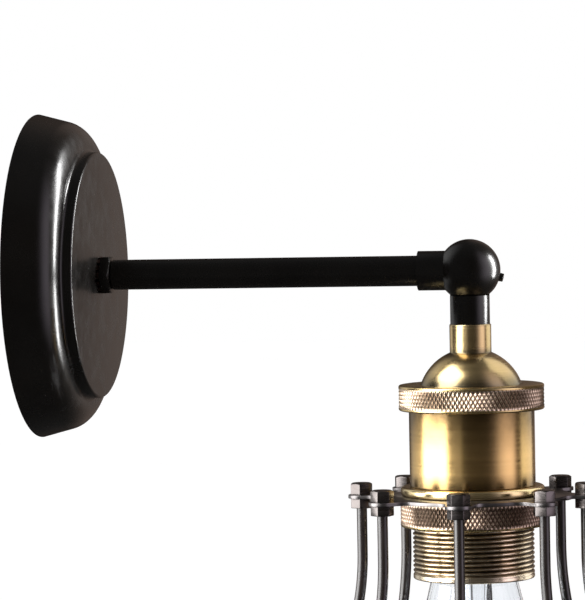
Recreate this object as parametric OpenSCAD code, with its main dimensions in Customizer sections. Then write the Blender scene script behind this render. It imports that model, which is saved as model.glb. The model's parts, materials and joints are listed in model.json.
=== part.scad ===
// Cage wall light. Millimetres, +Z up, +X away from the wall.
// The origin is on the wall, at the middle of the two wall screws, and the arm runs along +X from it.

/* [Canopy] */
// Diameter of the canopy's rim at the wall
canopy_d = 108; // [104:1:130]
// Distance from the wall to the canopy's flat front
canopy_depth = 20.2; // [19.6:0.2:24]
// Thickness of the canopy's sheet
canopy_wall = 1.2; // [0.8:0.1:1.4]
// How far the edge of the canopy's flat front lies inside its rim
disc_inset = 13; // [12:0.5:15]
// Distance from the wall to the top of the rounded shoulder
shoulder_h = 16.4; // [15:0.2:17.6]
// Rounding of the shoulder
shoulder_r = 9; // [7:0.5:10]
// Lean of the skirt between the wall and the shoulder, in degrees
skirt_angle = 15; // [10:1:16]
// Rounding of the groove round the flat front
groove_r = 1.5; // [0.8:0.1:1.6]
// Rounding of the flat front's edge
disc_edge_r = 0.8; // [0.4:0.1:1.2]

/* [Wall bracket] */
// Length of the strap
bracket_l = 88; // [84:1:94]
// Width of the strap
bracket_w = 16; // [14:1:18]
// Thickness of the strap
bracket_t = 1.8; // [1.2:0.1:2]
// Distance from the wall to the back of the strap's raised middle
bracket_rise = 5; // [4.6:0.1:5.4]
// Length of the raised middle
bracket_mid_l = 40; // [38:1:44]
// Distance between the two wall screws
wall_screw_spacing = 70; // [66:1:72]
// Width of the wall-screw slots
slot_w = 4.5; // [4:0.1:5]
// Length of the wall-screw slots, end to end
slot_l = 10; // [8:0.5:12]

/* [Centre fixing] */
// Outside diameter of the threaded wall nipple
nipple_d = 8; // [7.6:0.1:8.4]
// Bore of the wall nipple
nipple_bore = 5.8; // [5.6:0.1:6]
// How far the wall nipple screws into the arm tube
nipple_grip = 12; // [8:1:20]
// How far the wall nipple stands out behind its lock nut
nipple_tail = 1.2; // [0.4:0.1:1.4]
// Width of the hexagonal nuts across their flats
nut_af = 12; // [11.5:0.1:13]
// Thickness of the hexagonal nuts
nut_h = 3.2; // [2.6:0.1:3.4]
// Outside diameter of the star lock washer
star_d = 12.2; // [11.6:0.2:14]
// Thickness of the star lock washer
star_t = 0.7; // [0.5:0.1:1]
// Number of teeth on the star lock washer
star_teeth = 14; // [10:1:18]

/* [Terminals behind the canopy] */
// Distance between the poles of the terminal block
pole_pitch = 8; // [7.6:0.1:9]
// Length of the terminal block along its poles
block_w = 15; // [13:0.5:16]
// Height of the terminal block above the strap's tab
block_h = 10.6; // [9.6:0.2:11]
// Distance from the arm's axis to the near side of the block
block_y = 11; // [10.5:0.5:13]
// Outside diameter of the block's brass sleeves
sleeve_d = 4.2; // [3.8:0.1:4.4]
// Bore of the block's brass sleeves
sleeve_bore = 2.6; // [2.2:0.1:2.8]
// Diameter of the block's clamp screws
clamp_screw_d = 2.4; // [2:0.1:2.6]
// Diameter of the earth screw
earth_screw_d = 4; // [3.5:0.1:4.5]
// Diameter of the earth screw's head
earth_head_d = 7; // [6.4:0.1:7.4]
// Diameter of each insulated lead
lead_d = 1.5; // [1.2:0.1:1.5]

/* [Arm] */
// Distance from the wall to the middle of the ball knuckle
arm_l = 144; // [120:1:220]
// Outside diameter of the arm tube
arm_d = 10; // [10:0.1:10.6]
// Bore of the arm tube
arm_bore = 7.4; // [6.6:0.1:7.6]
// Rounding of the arm tube's visible end
arm_end_r = 0.9; // [0.4:0.1:0.9]

/* [Ball knuckle] */
// Diameter of the ball
ball_d = 20.4; // [20:0.1:22]
// Wall thickness of the ball
ball_wall = 1.8; // [1.4:0.1:1.9]
// Outside diameter of the collar on the arm and of the stem under the ball
collar_d = 13; // [12.6:0.1:13.4]
// Distance from the middle of the ball to the open end of the arm's collar
collar_l = 16.8; // [15.5:0.1:20]
// How far the arm tube goes into the collar
arm_grip = 5.6; // [4.6:0.1:6]
// Distance from the middle of the ball to the end of the stem
stem_l = 17.6; // [16.5:0.1:24]
// Diameter of the leads' way through the collar and the stem
lead_way = 7.2; // [6.4:0.1:7.4]
// Diameter of the pivot spigot inside the ball
spigot_d = 7; // [6:0.1:7.2]
// Diameter of the pivot screw
pivot_screw_d = 3; // [2.5:0.1:3.4]
// Diameter of the pivot screw's head
pivot_head_d = 6; // [5:0.1:6.4]
// Diameter of the tilt lock screw
lock_screw_d = 2; // [1.6:0.1:2.2]
// Diameter of the tilt lock screw's head
lock_head_d = 2.8; // [2.6:0.1:3.2]
// How far the tilt lock screw's head stands out of the ball
lock_head_h = 1.2; // [0.8:0.1:1.5]
// Angle of the tilt lock screw below the horizontal, in degrees
lock_angle = 14; // [8:1:20]
// Distance of the tilt lock screw behind the seam of the ball
lock_y = 2; // [1.6:0.1:2.2]

/* [Lamp holder] */
// Diameter of the holder's neck
neck_d = 13.7; // [13.2:0.1:14.6]
// Length of the holder's neck
neck_l = 9.3; // [8:0.1:14]
// Diameter of the dome where it enters the knurled cap ring
dome_d = 33.2; // [32.6:0.1:34]
// Height of the dome
dome_h = 10.4; // [9.6:0.1:12]
// Outside diameter of the two knurled rings
ring_d = 47.8; // [47:0.1:50]
// Height of the knurled cap ring
cap_ring_h = 8.4; // [7.4:0.1:12]
// Thickness of the cap ring's top lip
cap_ring_lip = 1.4; // [1:0.1:1.6]
// Diameter of the plain barrel
barrel_d = 41.2; // [40.8:0.1:42.4]
// Length of the plain barrel that shows between the rings
barrel_l = 24.9; // [22:0.1:36]
// Outside diameter of the thread under the plain barrel
thread_d = 39.9; // [39.7:0.1:40.3]
// Pitch of that thread
thread_pitch = 1.5; // [1:0.1:2]
// Depth of that thread
thread_depth = 0.65; // [0.3:0.05:0.7]
// Length of that thread
thread_l = 30.3; // [28:0.1:36]
// Bore of the barrel
barrel_bore = 37.6; // [37.2:0.1:37.8]
// Height of the plain seat ring above the cage plate
seat_ring_h = 3; // [2.4:0.1:4]
// Outside diameter of the seat ring
seat_ring_d = 47.2; // [46:0.1:49]
// Height of the knurled shade ring under the cage plate
shade_ring_h = 8.9; // [7:0.1:12]
// Outside diameter of the hollow nipple between the stem and the holder
holder_nipple_d = 10; // [9.6:0.1:10.2]
// Wall thickness of that nipple
holder_nipple_wall = 1.4; // [1:0.1:1.5]
// Width of the nut inside the dome across its flats
dome_nut_af = 13.6; // [13:0.1:14]
// Sheet thickness of the dome
dome_wall = 1.2; // [0.8:0.1:1.3]
// Length of the porcelain core's solid middle
core_block_h = 24; // [20:0.5:25]
// Bore of the porcelain core round the screw shell
core_bore = 29.4; // [29:0.1:30]
// Outside diameter of the screw shell
shell_d = 28.8; // [28.4:0.1:28.9]
// Wall thickness of the screw shell
shell_wall = 0.7; // [0.5:0.1:0.8]

/* [Cage] */
// Number of cage bars
bar_count = 8; // [8:1:8]
// Diameter of the cage bars
bar_d = 3.5; // [3:0.1:4]
// Radius of the circle on which the bars pass through the cage plate
bar_circle_r = 37; // [36:0.5:42]
// Thickness of the cage plate and of the bottom ring
plate_t = 1.2; // [0.8:0.1:2]
// Radius of the cage plate between its tabs
plate_r = 31.5; // [28:0.5:32]
// Radius of the tabs round the bars
tab_r = 4.4; // [4.2:0.1:4.8]
// Rounding between a tab and the plate
tab_fillet_r = 4.5; // [2:0.5:5]
// Width of the cage's hexagonal nuts across their flats
cage_nut_af = 6.6; // [6:0.1:7]
// Height of the cap nuts above the plate
cap_nut_h = 3.9; // [3:0.1:4.5]
// Height of the lock nuts under the plate
lock_nut_h = 3.2; // [2.4:0.1:4]
// Length of the bars' straight upper part under the plate
bar_straight = 18; // [10:1:30]
// Radius of the bars' outward bend
flare_r = 90; // [80:1:110]
// Angle at which the bars lean outward at the end of that bend
flare_angle = 35; // [30:1:38]
// Radius of the bars' belly
belly_r = 60; // [56:1:70]
// Radius of the bars' last bend, back to straight down
foot_bend_r = 15; // [12:1:20]
// Radius of the circle on which the bars pass through the bottom ring
foot_circle_r = 38; // [36:0.5:44]
// Radius of the bottom ring's opening
foot_opening_r = 33; // [32.6:0.1:33.6]

/* [Bulb] */
// Diameter of the bulb at its widest
bulb_d = 64; // [58:1:66]
// Diameter of the bulb's neck where it leaves the lamp holder
bulb_neck_d = 28; // [27:0.5:29]
// Distance from the holder's mouth to the middle of the bulb's round end
bulb_drop = 77; // [74:1:84]
// Thickness of the glass
glass_t = 0.8; // [0.6:0.1:1]
// Outside diameter of the bulb's screw cap over its thread
bulb_thread_d = 26.4; // [25.8:0.1:26.6]
// Pitch of the bulb's thread
bulb_pitch = 3.6; // [3.4:0.05:3.8]
// Depth of the bulb's thread
bulb_thread_depth = 0.9; // [0.6:0.1:1]
// Distance from the holder's mouth up to the bulb's tip contact
bulb_insert = 28.9; // [28.6:0.1:29.4]
// Distance from the holder's mouth down to the end of the bulb's glass stem
bulb_stem_drop = 26; // [22:1:30]
// Distance from the holder's mouth down to the top of the filament
filament_drop = 46; // [42:1:50]
// Height of the filament
filament_h = 48; // [40:1:52]
// Diameter of the filament and of the wires that hold it
filament_d = 0.5; // [0.4:0.1:0.8]
// Number of the filament's upright runs
filament_runs = 10; // [8:2:14]
// Radius of the circle on which the filament's runs stand
filament_r = 8; // [6:0.5:9]

/* [Hidden] */
$fn = 96;
fit = 0.05;      // radial clearance of a close fit
clear = 0.15;    // clearance of a loose fit
free_gap = 0.3;  // gap between curved faces that move past each other
big = 400;       // larger than the part, for cutting shapes

canopy_r = canopy_d / 2;
disc_r = canopy_r - disc_inset;
skirt_end_h = shoulder_h - shoulder_r + shoulder_r * sin(skirt_angle);
skirt_end_r = canopy_r - skirt_end_h * tan(skirt_angle);
shoulder_mid_h = shoulder_h - shoulder_r;
shoulder_mid_r = skirt_end_r - shoulder_r * cos(skirt_angle);

strap_front = bracket_rise + bracket_t;
star_x = canopy_depth + star_t;
arm_x = star_x + nut_h;
nipple_back = bracket_rise - nut_h - nipple_tail;
nipple_front = arm_x + nipple_grip;
outlet_back = strap_front + nut_h + 0.6;
outlet_front = canopy_depth - canopy_wall - 1;
outlet_w = 5;
tab_w = 2 * pole_pitch;
block_x = strap_front + block_h / 2;
earth_z = -(nut_af / 2 + earth_head_d / 2 + 3);
tag_t = 0.8;
tag_bore_y = earth_head_d / 2 + 2.2;
tag_end_y = tag_bore_y + 3.5;
// Ways of the leads: place across the arm as [y, z], place in the stem as [x, y],
// distance out from the pivot, and how far each has moved behind the ball's seam at three points of its turn.
live_way = [lead_d * [0.35, -0.85], lead_d * [-1.35, 1], 1.25 * lead_d, [0.2, 0.55, 0.9]];
neutral_way = [lead_d * [0.4, 0.55], lead_d * [-0.25, 1.75], 0.15 * lead_d, [0.5, 0.8, 0.97]];
earth_way = [lead_d * [-0.65, 0.2], lead_d * [-0.1, 0.63], 0.35 * lead_d, [0.25, 0.6, 0.92]];
front_shift = lead_d * [-1, -0.8];   // all three move over to enter the ball in front of its seam

ball_r = ball_d / 2;
cavity_r = ball_r - ball_wall;
collar_r = collar_d / 2;
arm_end = arm_l - collar_l + arm_grip;
spigot_end = 4;
pivot_head_y = ball_r - 1.2;
pivot_tip_y = -(spigot_d / 2 + 2);
lock_seat = sqrt(ball_r * ball_r - lock_y * lock_y) - 0.4;
lead_turn_r = spigot_d / 2 + lead_d / 2 + free_gap;
lead_end_z = -(cavity_r - 1);
lead_start_z = lead_end_z - 0.4;

neck_r = neck_d / 2;
dome_r = dome_d / 2;
ring_r = ring_d / 2;
barrel_r = barrel_d / 2;
thread_r = thread_d / 2;
core_r = barrel_bore / 2 - clear;
neck_top = -stem_l;
neck_end = neck_top - neck_l;
ring_top = neck_end - dome_h;
ring_end = ring_top - cap_ring_h;
thread_top = ring_end - barrel_l;
plate_top = thread_top - seat_ring_h;
plate_end = plate_top - plate_t;
shade_ring_top = plate_end - fit;
mouth = thread_top - thread_l;
dome_mid = neck_end - (dome_r * dome_r + dome_h * dome_h - neck_r * neck_r) / (2 * dome_h);
dome_sphere_r = sqrt(neck_r * neck_r + (neck_end - dome_mid) * (neck_end - dome_mid));
flange_top = ring_top - cap_ring_lip - fit;
flange_t = 1;
flange_end = flange_top - flange_t;
barrel_top = flange_end - fit;
holder_nipple_top = neck_top + 6;
dome_flat = neck_end - 1.5;
dome_nut_h = 3;
holder_nipple_end = dome_flat - dome_nut_h - 1.2;
mouth_lip = 1;
core_top = barrel_top - fit;
core_floor = core_top - 6;
core_block_end = core_floor - core_block_h;
core_end = mouth + mouth_lip + fit;
terminal_r = 9.5;
terminal_screw_d = 3;
strip_t = 0.8;
strip_w = 6;

bulb_tip = mouth + bulb_insert;
bulb_cap_end = mouth + 2.4;
bulb_r = bulb_d / 2;
bulb_mid = mouth - bulb_drop;
glass_neck_r = bulb_neck_d / 2;
tip_h = 1.4;
insulator_h = 4;
bulb_thread_top = bulb_tip - tip_h - insulator_h;
stem_top = bulb_cap_end + 6;
stem_seat_r = 4.9;
button_r = 2.4;   // glass buttons that hold the filament's supports
stem_flare_end = mouth - bulb_stem_drop;
filament_top = mouth - filament_drop;
filament_end = filament_top - filament_h;

nut_seat = plate_end - lock_nut_h;
flare_top = plate_end - bar_straight;
flare_out = flare_r * (1 - cos(flare_angle));
flare_end_r = bar_circle_r + flare_out;
flare_end_z = flare_top - flare_r * sin(flare_angle);
belly_mid_r = flare_end_r - belly_r * cos(flare_angle);
belly_mid_z = flare_end_z - belly_r * sin(flare_angle);
foot_angle = acos((foot_circle_r + foot_bend_r - belly_mid_r) / (belly_r + foot_bend_r));
foot_bend_mid_z = belly_mid_z - (belly_r + foot_bend_r) * sin(foot_angle);
foot_top = foot_bend_mid_z - lock_nut_h - 1;
foot_end = foot_top - plate_t;
foot_ring_r = foot_circle_r + tab_r;

BARS = [for (i = [1:bar_count]) str("cage_bar_", i)];

// ---- Helpers ----

// Turns a shape made round +Z so that its axis runs along +X.
module along_x() {
    rotate([0, 90, 0]) children();
}

// A straight round bar or bore along +X, from x0 to x1.
module round_x(d, x0, x1) {
    translate([x0, 0, 0]) along_x() cylinder(d = d, h = x1 - x0);
}

// A straight round bar or bore along +Y, from y0 to y1.
module round_y(d, y0, y1) {
    translate([0, y0, 0]) rotate([-90, 0, 0]) cylinder(d = d, h = y1 - y0);
}

// A straight round bar or bore along +Z, from z0 up to z1.
module round_z(d, z0, z1) {
    translate([0, 0, z0]) cylinder(d = d, h = z1 - z0);
}

// A ring round +Z, from z0 up to z1.
module ring_z(outer_r, inner_r, z0, z1) {
    translate([0, 0, z0]) difference() {
        cylinder(r = outer_r, h = z1 - z0);
        translate([0, 0, -1]) cylinder(r = inner_r, h = z1 - z0 + 2);
    }
}

// A hexagonal prism round +Z with its corners turned down to a cone at the top.
module hex_prism(af, h, chamfer) {
    corner_r = af / 2 / cos(30);
    intersection() {
        rotate(30) cylinder(r = corner_r, h = h, $fn = 6);
        union() {
            cylinder(r = corner_r + 1, h = h - chamfer);
            translate([0, 0, h - chamfer])
                cylinder(r1 = corner_r + 0.01, r2 = corner_r - chamfer * 1.7, h = chamfer);
        }
    }
}

// A hexagonal nut along +X with its back at x0 and its turned-down corners in front.
module hex_nut_x(x0, bore) {
    difference() {
        translate([x0, 0, 0]) along_x() hex_prism(nut_af, nut_h, 0.5);
        round_x(bore, x0 - 1, x0 + nut_h + 1);
    }
}

// Children moved to the middle of the ball, where the lamp holder hangs.
module at_head() {
    translate([arm_l, 0, 0]) children();
}

// Children repeated on the circle of the cage bars.
module at_each_bar(radius) {
    for (i = [0:bar_count - 1])
        rotate(i * 360 / bar_count) translate([radius, 0, 0]) children();
}

// ---- Leads ----

function unit(v) = v / norm(v);

// A smooth curve through the points, with the given number of steps in each stretch.
function smooth(p, steps) = concat(
    [for (i = [0:len(p) - 2], k = [0:steps - 1])
        let (a = p[max(i - 1, 0)], b = p[i], c = p[i + 1], d = p[min(i + 2, len(p) - 1)], t = k / steps)
        0.5 * (2 * b + (c - a) * t + (2 * a - 5 * b + 4 * c - d) * t * t
            + (3 * b - a - 3 * c + d) * t * t * t)],
    [p[len(p) - 1]]);

function directions(p) =
    [for (i = [0:len(p) - 1]) unit(p[min(i + 1, len(p) - 1)] - p[max(i - 1, 0)])];

// A side direction carried along the curve without twist.
function carried(t, n, i = 0) =
    i == len(t) ? [] :
    let (m = unit(n - (n * t[i]) * t[i])) concat([m], carried(t, m, i + 1));

// A round bar of diameter d along the points, as one closed skin.
module tube(p, d, sides, start) {
    t = directions(p);
    n = carried(t, start);
    rings = [for (i = [0:len(p) - 1], k = [0:sides - 1])
        let (a = 360 * k / sides) p[i] + d / 2 * (cos(a) * n[i] + sin(a) * cross(t[i], n[i]))];
    last = (len(p) - 1) * sides;
    sides_faces = [for (i = [0:len(p) - 2], k = [0:sides - 1])
        let (a = i * sides + k, b = i * sides + (k + 1) % sides) each
        [[a, b + sides, b], [a, a + sides, b + sides]]];
    caps = concat(
        [for (k = [1:sides - 2]) [0, k, k + 1]],
        [for (k = [1:sides - 2]) [last, last + k + 1, last + k]]);
    polyhedron(points = rings, faces = concat(sides_faces, caps), convexity = 6);
}

// A thin insulated lead along a smooth curve through the points.
module lead(points) {
    tube(smooth(points, 3), lead_d, 8, [0.1, 0.2, 1]);
}

// The part of each lead that the arm holds: down the tube, into the ball and round the pivot.
function arm_run(way) =
    let (y = way[0][0] + front_shift[0], z = way[0][1] + front_shift[1], stem = way[1],
        a0 = atan2(-z, cavity_r - 1), a1 = atan2(-lead_end_z, -stem[0]))
    concat([
        [nipple_front + 10, way[0][0], way[0][1]],
        [(nipple_front + arm_l) / 2, y, z],
        [arm_l - collar_l - 3, y, z],
        [arm_l - collar_l + 4, y, z],
        [arm_l - cavity_r - 1.4, y, z],
        [arm_l - cavity_r + 1, y + (stem[1] - y) * 0.04, z - 0.15]],
        [for (i = [0:2])
            let (a = a0 + (a1 - a0) * [0.26, 0.5, 0.76][i], r = lead_turn_r + way[2] + [0.75, 0.2, 0.25][i])
            [arm_l - r * cos(a), y + (stem[1] - y) * way[3][i], -r * sin(a)]],
        [[arm_l + stem[0] - 0.1, stem[1], lead_end_z + 0.8],
        [arm_l + stem[0], stem[1], lead_end_z]]);

// ---- Wall side ----

// Half section of the canopy's filled outline, drawn in by o all round.
module canopy_region(o) {
    intersection() {
        translate([0, 0]) square([big, big]);
        union() {
            polygon([
                [0, 0],
                [canopy_r - o / cos(skirt_angle), 0],
                [skirt_end_r - o * cos(skirt_angle), skirt_end_h - o * sin(skirt_angle)],
                [0, skirt_end_h - o * sin(skirt_angle)]]);
            translate([shoulder_mid_r, shoulder_mid_h]) circle(r = shoulder_r - o);
            square([shoulder_mid_r, shoulder_h - o]);
            square([disc_r - max(o, disc_edge_r), canopy_depth - o]);
            square([disc_r - o, canopy_depth - max(o, disc_edge_r)]);
            if (o < disc_edge_r)
                translate([disc_r - disc_edge_r, canopy_depth - disc_edge_r]) circle(r = disc_edge_r - o);
            difference() {
                translate([disc_r - o - 1, shoulder_h - o - 1]) square([groove_r + o + 1, groove_r + o + 1]);
                translate([disc_r + groove_r, shoulder_h + groove_r]) circle(r = groove_r + o);
            }
        }
    }
}

module canopy() {
    color("#2b2523") along_x() rotate_extrude() difference() {
        canopy_region(0);
        canopy_region(canopy_wall);
        square([nipple_d / 2 + clear, canopy_depth + 1]);
    }
}

// Side view of the strap, as [distance from the wall, height].
module strap_2d() {
    mid = bracket_mid_l / 2;
    half = [
        [bracket_rise, mid - bracket_t], [0, mid - bracket_t], [0, bracket_l / 2],
        [bracket_t, bracket_l / 2], [bracket_t, mid], [strap_front, mid]];
    polygon(concat(half, [for (i = [len(half) - 1:-1:0]) [half[i][0], -half[i][1]]]));
}

// A slot through a foot of the strap, from end to end along Z.
module wall_slot() {
    reach = (slot_l - slot_w) / 2;
    for (s = [-1, 1])
        translate([0, 0, s * reach]) round_x(slot_w, -1, bracket_t + 1);
    translate([-1, -slot_w / 2, -reach]) cube([bracket_t + 2, slot_w, 2 * reach]);
}

module wall_bracket() {
    tab_y = block_y + block_w;
    color("#8d9092") difference() {
        union() {
            rotate([90, 0, 0]) translate([0, 0, -bracket_w / 2]) linear_extrude(bracket_w) strap_2d();
            translate([bracket_rise, 0, -tab_w / 2]) cube([bracket_t, tab_y, tab_w]);
        }
        round_x(nipple_d + 2 * fit, -1, strap_front + 1);
        translate([0, 0, earth_z]) round_x(earth_screw_d + 2 * fit, -1, strap_front + 1);
        translate([0, block_y + block_w / 2, 0]) round_x(clamp_screw_d + 2 * fit, -1, strap_front + 1);
        for (s = [-1, 1]) translate([0, 0, s * wall_screw_spacing / 2]) wall_slot();
    }
}

module wall_nipple() {
    color("#b59a55") difference() {
        round_x(nipple_d, nipple_back, nipple_front);
        round_x(nipple_bore, nipple_back - 1, nipple_front + 1);
        translate([outlet_back, 0, -outlet_w / 2]) cube([outlet_front - outlet_back, nipple_d, outlet_w]);
    }
}

module bracket_lock_nut() {
    color("#9a9c9e") hex_nut_x(bracket_rise - nut_h, nipple_d + 2 * fit);
}

module bracket_jam_nut() {
    color("#9a9c9e") hex_nut_x(strap_front, nipple_d + 2 * fit);
}

module star_washer() {
    inner = nipple_d + 2 * fit;
    root_r = star_d / 2 - 1.4;
    color("#c9c4ba") difference() {
        union() {
            round_x(2 * root_r, canopy_depth, star_x);
            for (i = [0:star_teeth - 1])
                rotate([i * 360 / star_teeth, 0, 0]) translate([canopy_depth, root_r - 0.5, -0.8])
                    cube([star_t, 1.9, 1.6]);
        }
        round_x(inner, canopy_depth - 1, star_x + 1);
    }
}

module canopy_nut() {
    color("#1e1b1a") hex_nut_x(star_x, nipple_d + 2 * fit);
}

module earth_screw() {
    head_x = strap_front + tag_t;
    color("#b9a768") translate([0, 0, earth_z]) difference() {
        union() {
            round_x(earth_screw_d, bracket_rise - 2.4, head_x);
            round_x(earth_head_d, head_x, head_x + 2.2);
        }
        translate([head_x + 1.2, -earth_head_d, -0.5]) cube([2, 2 * earth_head_d, 1]);
    }
}

module earth_tag() {
    color("#cfcabd") translate([0, 0, earth_z]) difference() {
        union() {
            round_x(earth_head_d + 1, strap_front, strap_front + tag_t);
            translate([strap_front, 0, -1.6]) cube([tag_t, tag_bore_y + 0.7, 3.2]);
            translate([strap_front + lead_d / 2 + 0.5, 0, 0]) round_y(lead_d + 1, tag_bore_y - 0.5, tag_end_y);
        }
        round_x(earth_screw_d + 2 * clear, strap_front - 1, strap_front + 3);
        translate([strap_front + lead_d / 2 + 0.5, 0, 0])
            round_y(lead_d + 2 * fit, tag_bore_y, tag_end_y + 1);
    }
}

// Children at each pole of the terminal block, on the axis of its sleeve.
module at_each_pole() {
    for (s = [-1, 1]) translate([block_x, 0, s * pole_pitch / 2]) children();
}

module terminal_block() {
    color("#e9e4d6") difference() {
        translate([strap_front, block_y, -pole_pitch]) cube([block_h, block_w, 2 * pole_pitch]);
        at_each_pole() round_y(sleeve_d + 2 * fit, block_y - 1, block_y + block_w + 1);
        at_each_pole() for (s = [-1, 1]) translate([0, block_y + block_w / 2 + s * block_w / 4, 0])
            round_x(clamp_screw_d + 1, 0, block_h);
        translate([0, block_y + block_w / 2, 0]) round_x(clamp_screw_d + 2 * fit, 0, big);
        translate([0, block_y + block_w / 2, 0])
            round_x(clamp_screw_d + 1.4, strap_front + block_h - 1.6, big);
    }
}

module terminal_sleeves() {
    color("#c8a24a") at_each_pole() difference() {
        round_y(sleeve_d, block_y + 0.8, block_y + block_w - 0.8);
        round_y(sleeve_bore, block_y, block_y + block_w);
        for (s = [-1, 1]) translate([0, block_y + block_w / 2 + s * block_w / 4, 0])
            round_x(clamp_screw_d + 2 * fit, 0, sleeve_d);
    }
}

module terminal_screws() {
    color("#a8a8a4") at_each_pole() for (s = [-1, 1])
        translate([0, block_y + block_w / 2 + s * block_w / 4, 0])
            round_x(clamp_screw_d, lead_d / 2 + fit, block_h / 2 - 1);
}

module block_screw() {
    color("#a8a8a4") translate([0, block_y + block_w / 2, 0]) union() {
        round_x(clamp_screw_d, bracket_rise - 1, strap_front + block_h - 1.6);
        round_x(clamp_screw_d + 1.2, strap_front + block_h - 1.6, strap_front + block_h - 0.4);
    }
}

// A lead from a pole of the block, through the nipple's side outlet and the arm, to the ball.
module block_lead(way, outlet_x, pole_z) {
    y = way[0][0];
    z = way[0][1];
    lead(concat([
        [block_x, block_y + block_w / 2 - 1, pole_z],
        [block_x, block_y + 0.8, pole_z],
        [(block_x + outlet_x) / 2, block_y - 2.5, (pole_z * 2 + z) / 3],
        [outlet_x, nipple_d / 2 + 1.6, z],
        [outlet_x, y + 1.4, z],
        [outlet_x + 1.2, y + 0.2, z],
        [outlet_x + 4, y, z]], arm_run(way)));
}

module live_lead() {
    color("#6b4423") block_lead(live_way, outlet_front - lead_d - 0.4, -pole_pitch / 2);
}

module neutral_lead() {
    color("#2f5f9e") block_lead(neutral_way, outlet_front - 2 * lead_d - 1, pole_pitch / 2);
}

module earth_lead() {
    outlet_x = outlet_back + lead_d / 2 + 0.2;
    tag_x = strap_front + lead_d / 2 + 0.5;
    y = earth_way[0][0];
    z = earth_way[0][1];
    color("#7f9a2e") lead(concat([
        [tag_x, tag_bore_y + 0.4, earth_z],
        [tag_x, tag_end_y, earth_z],
        [tag_x, tag_end_y + 0.9, earth_z],
        [tag_x + 1, tag_end_y + 1.4, earth_z + 2.5],
        [outlet_x, nipple_d / 2 + 3, -5],
        [outlet_x, nipple_d / 2, z - 0.8],
        [outlet_x, y + 1.7, z - 0.1],
        [outlet_x + 1.4, y + 0.3, z],
        [outlet_x + 4, y, z]], arm_run(earth_way)));
}

// ---- Arm and knuckle ----

module arm_tube() {
    color("#1b1716") difference() {
        along_x() rotate_extrude() union() {
            translate([0, arm_x + arm_end_r]) square([arm_d / 2, arm_end - arm_x - arm_end_r]);
            translate([0, arm_x]) square([arm_d / 2 - arm_end_r, arm_end_r]);
            intersection() {
                translate([arm_d / 2 - arm_end_r, arm_x + arm_end_r]) circle(r = arm_end_r);
                translate([0, arm_x]) square([arm_d, 2 * arm_end_r]);
            }
        }
        round_x(arm_bore, arm_x - 1, arm_end + 1);
        round_x(nipple_d + 2 * fit, arm_x - 1, nipple_front + 0.5);
    }
}

// A ball whose poles lie clear of every bore.
module ball(r) {
    rotate([-50, 0, 0]) sphere(r = r);
}

// Everything on one side of the ball's seam: side is -1 in front of it and 1 behind it.
module seam_side(side) {
    translate([-big / 2, side > 0 ? fit : -fit - big, -big / 2]) cube([big, big, big]);
}

module knuckle_arm_half() {
    color("#1b1716") at_head() difference() {
        union() {
            intersection() {
                difference() {
                    sphere(r = ball_r);
                    sphere(r = cavity_r);
                }
                seam_side(-1);
            }
            difference() {
                round_x(collar_d, -collar_l, 0);
                sphere(r = cavity_r);
                intersection() {
                    sphere(r = ball_r + free_gap);
                    translate([-big / 2, -fit, -big / 2]) cube([big, big, big]);
                }
                translate([-cavity_r + 2, -big / 2, -big / 2]) cube([big, big, big]);
            }
            intersection() {
                round_y(spigot_d, -cavity_r - 0.4, spigot_end);
                sphere(r = cavity_r + 0.4);
            }
        }
        round_x(lead_way, -collar_l - 1, -cavity_r + 2.5);
        round_x(arm_d + 2 * fit, -collar_l - 1, -collar_l + arm_grip + fit);
        round_y(pivot_screw_d + 2 * fit, pivot_tip_y - 0.3, spigot_end + 1);
    }
}

module knuckle_stem_half() {
    color("#1b1716") at_head() difference() {
        union() {
            intersection() {
                difference() {
                    ball(r = ball_r);
                    ball(r = cavity_r);
                }
                seam_side(1);
            }
            difference() {
                round_z(collar_d, neck_top, 0);
                ball(r = cavity_r);
                intersection() {
                    ball(r = ball_r + free_gap);
                    translate([-big / 2, fit - big, -big / 2]) cube([big, big, big]);
                }
                translate([-big / 2, -big / 2, -cavity_r + 2]) cube([big, big, big]);
            }
            intersection() {
                round_y(spigot_d + 1, spigot_end + fit, ball_r);
                ball(r = ball_r - 0.2);
            }
        }
        round_z(lead_way, neck_top - 1, -cavity_r + 2.5);
        round_z(holder_nipple_d + 2 * fit, neck_top - 1, holder_nipple_top + fit);
        round_y(pivot_screw_d + 2 * fit, 0, ball_r + 1);
        round_y(pivot_head_d + 2 * fit, pivot_head_y - fit, ball_r + 1);
        lock_screw_space(lock_screw_d + 2 * fit, lock_head_d + 2 * fit);
    }
}

module pivot_screw() {
    color("#3a3634") at_head() difference() {
        union() {
            round_y(pivot_screw_d, pivot_tip_y, pivot_head_y);
            round_y(pivot_head_d, pivot_head_y, pivot_head_y + 2);
        }
        translate([-pivot_head_d, pivot_head_y + 1.1, -0.45]) cube([2 * pivot_head_d, 2, 0.9]);
    }
}

// The tilt lock screw's shank and head, or the space for them.
module lock_screw_space(shank, head) {
    translate([0, lock_y, 0]) rotate([0, lock_angle, 0]) {
        round_x(shank, spigot_d / 2 + 0.3, lock_seat + 0.1);
        round_x(head, lock_seat, lock_seat + 0.4 + lock_head_h);
    }
}

module tilt_lock_screw() {
    color("#2a2625") at_head() difference() {
        lock_screw_space(lock_screw_d, lock_head_d);
        translate([0, lock_y, 0]) rotate([0, lock_angle, 0])
            translate([lock_seat + lock_head_h - 0.2, -0.3, -lock_head_d]) cube([1, 0.6, 2 * lock_head_d]);
    }
}

// ---- Lamp holder ----

module holder_nipple() {
    color("#b59a55") at_head()
        ring_z(holder_nipple_d / 2, holder_nipple_d / 2 - holder_nipple_wall,
            holder_nipple_end, holder_nipple_top);
}

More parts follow.
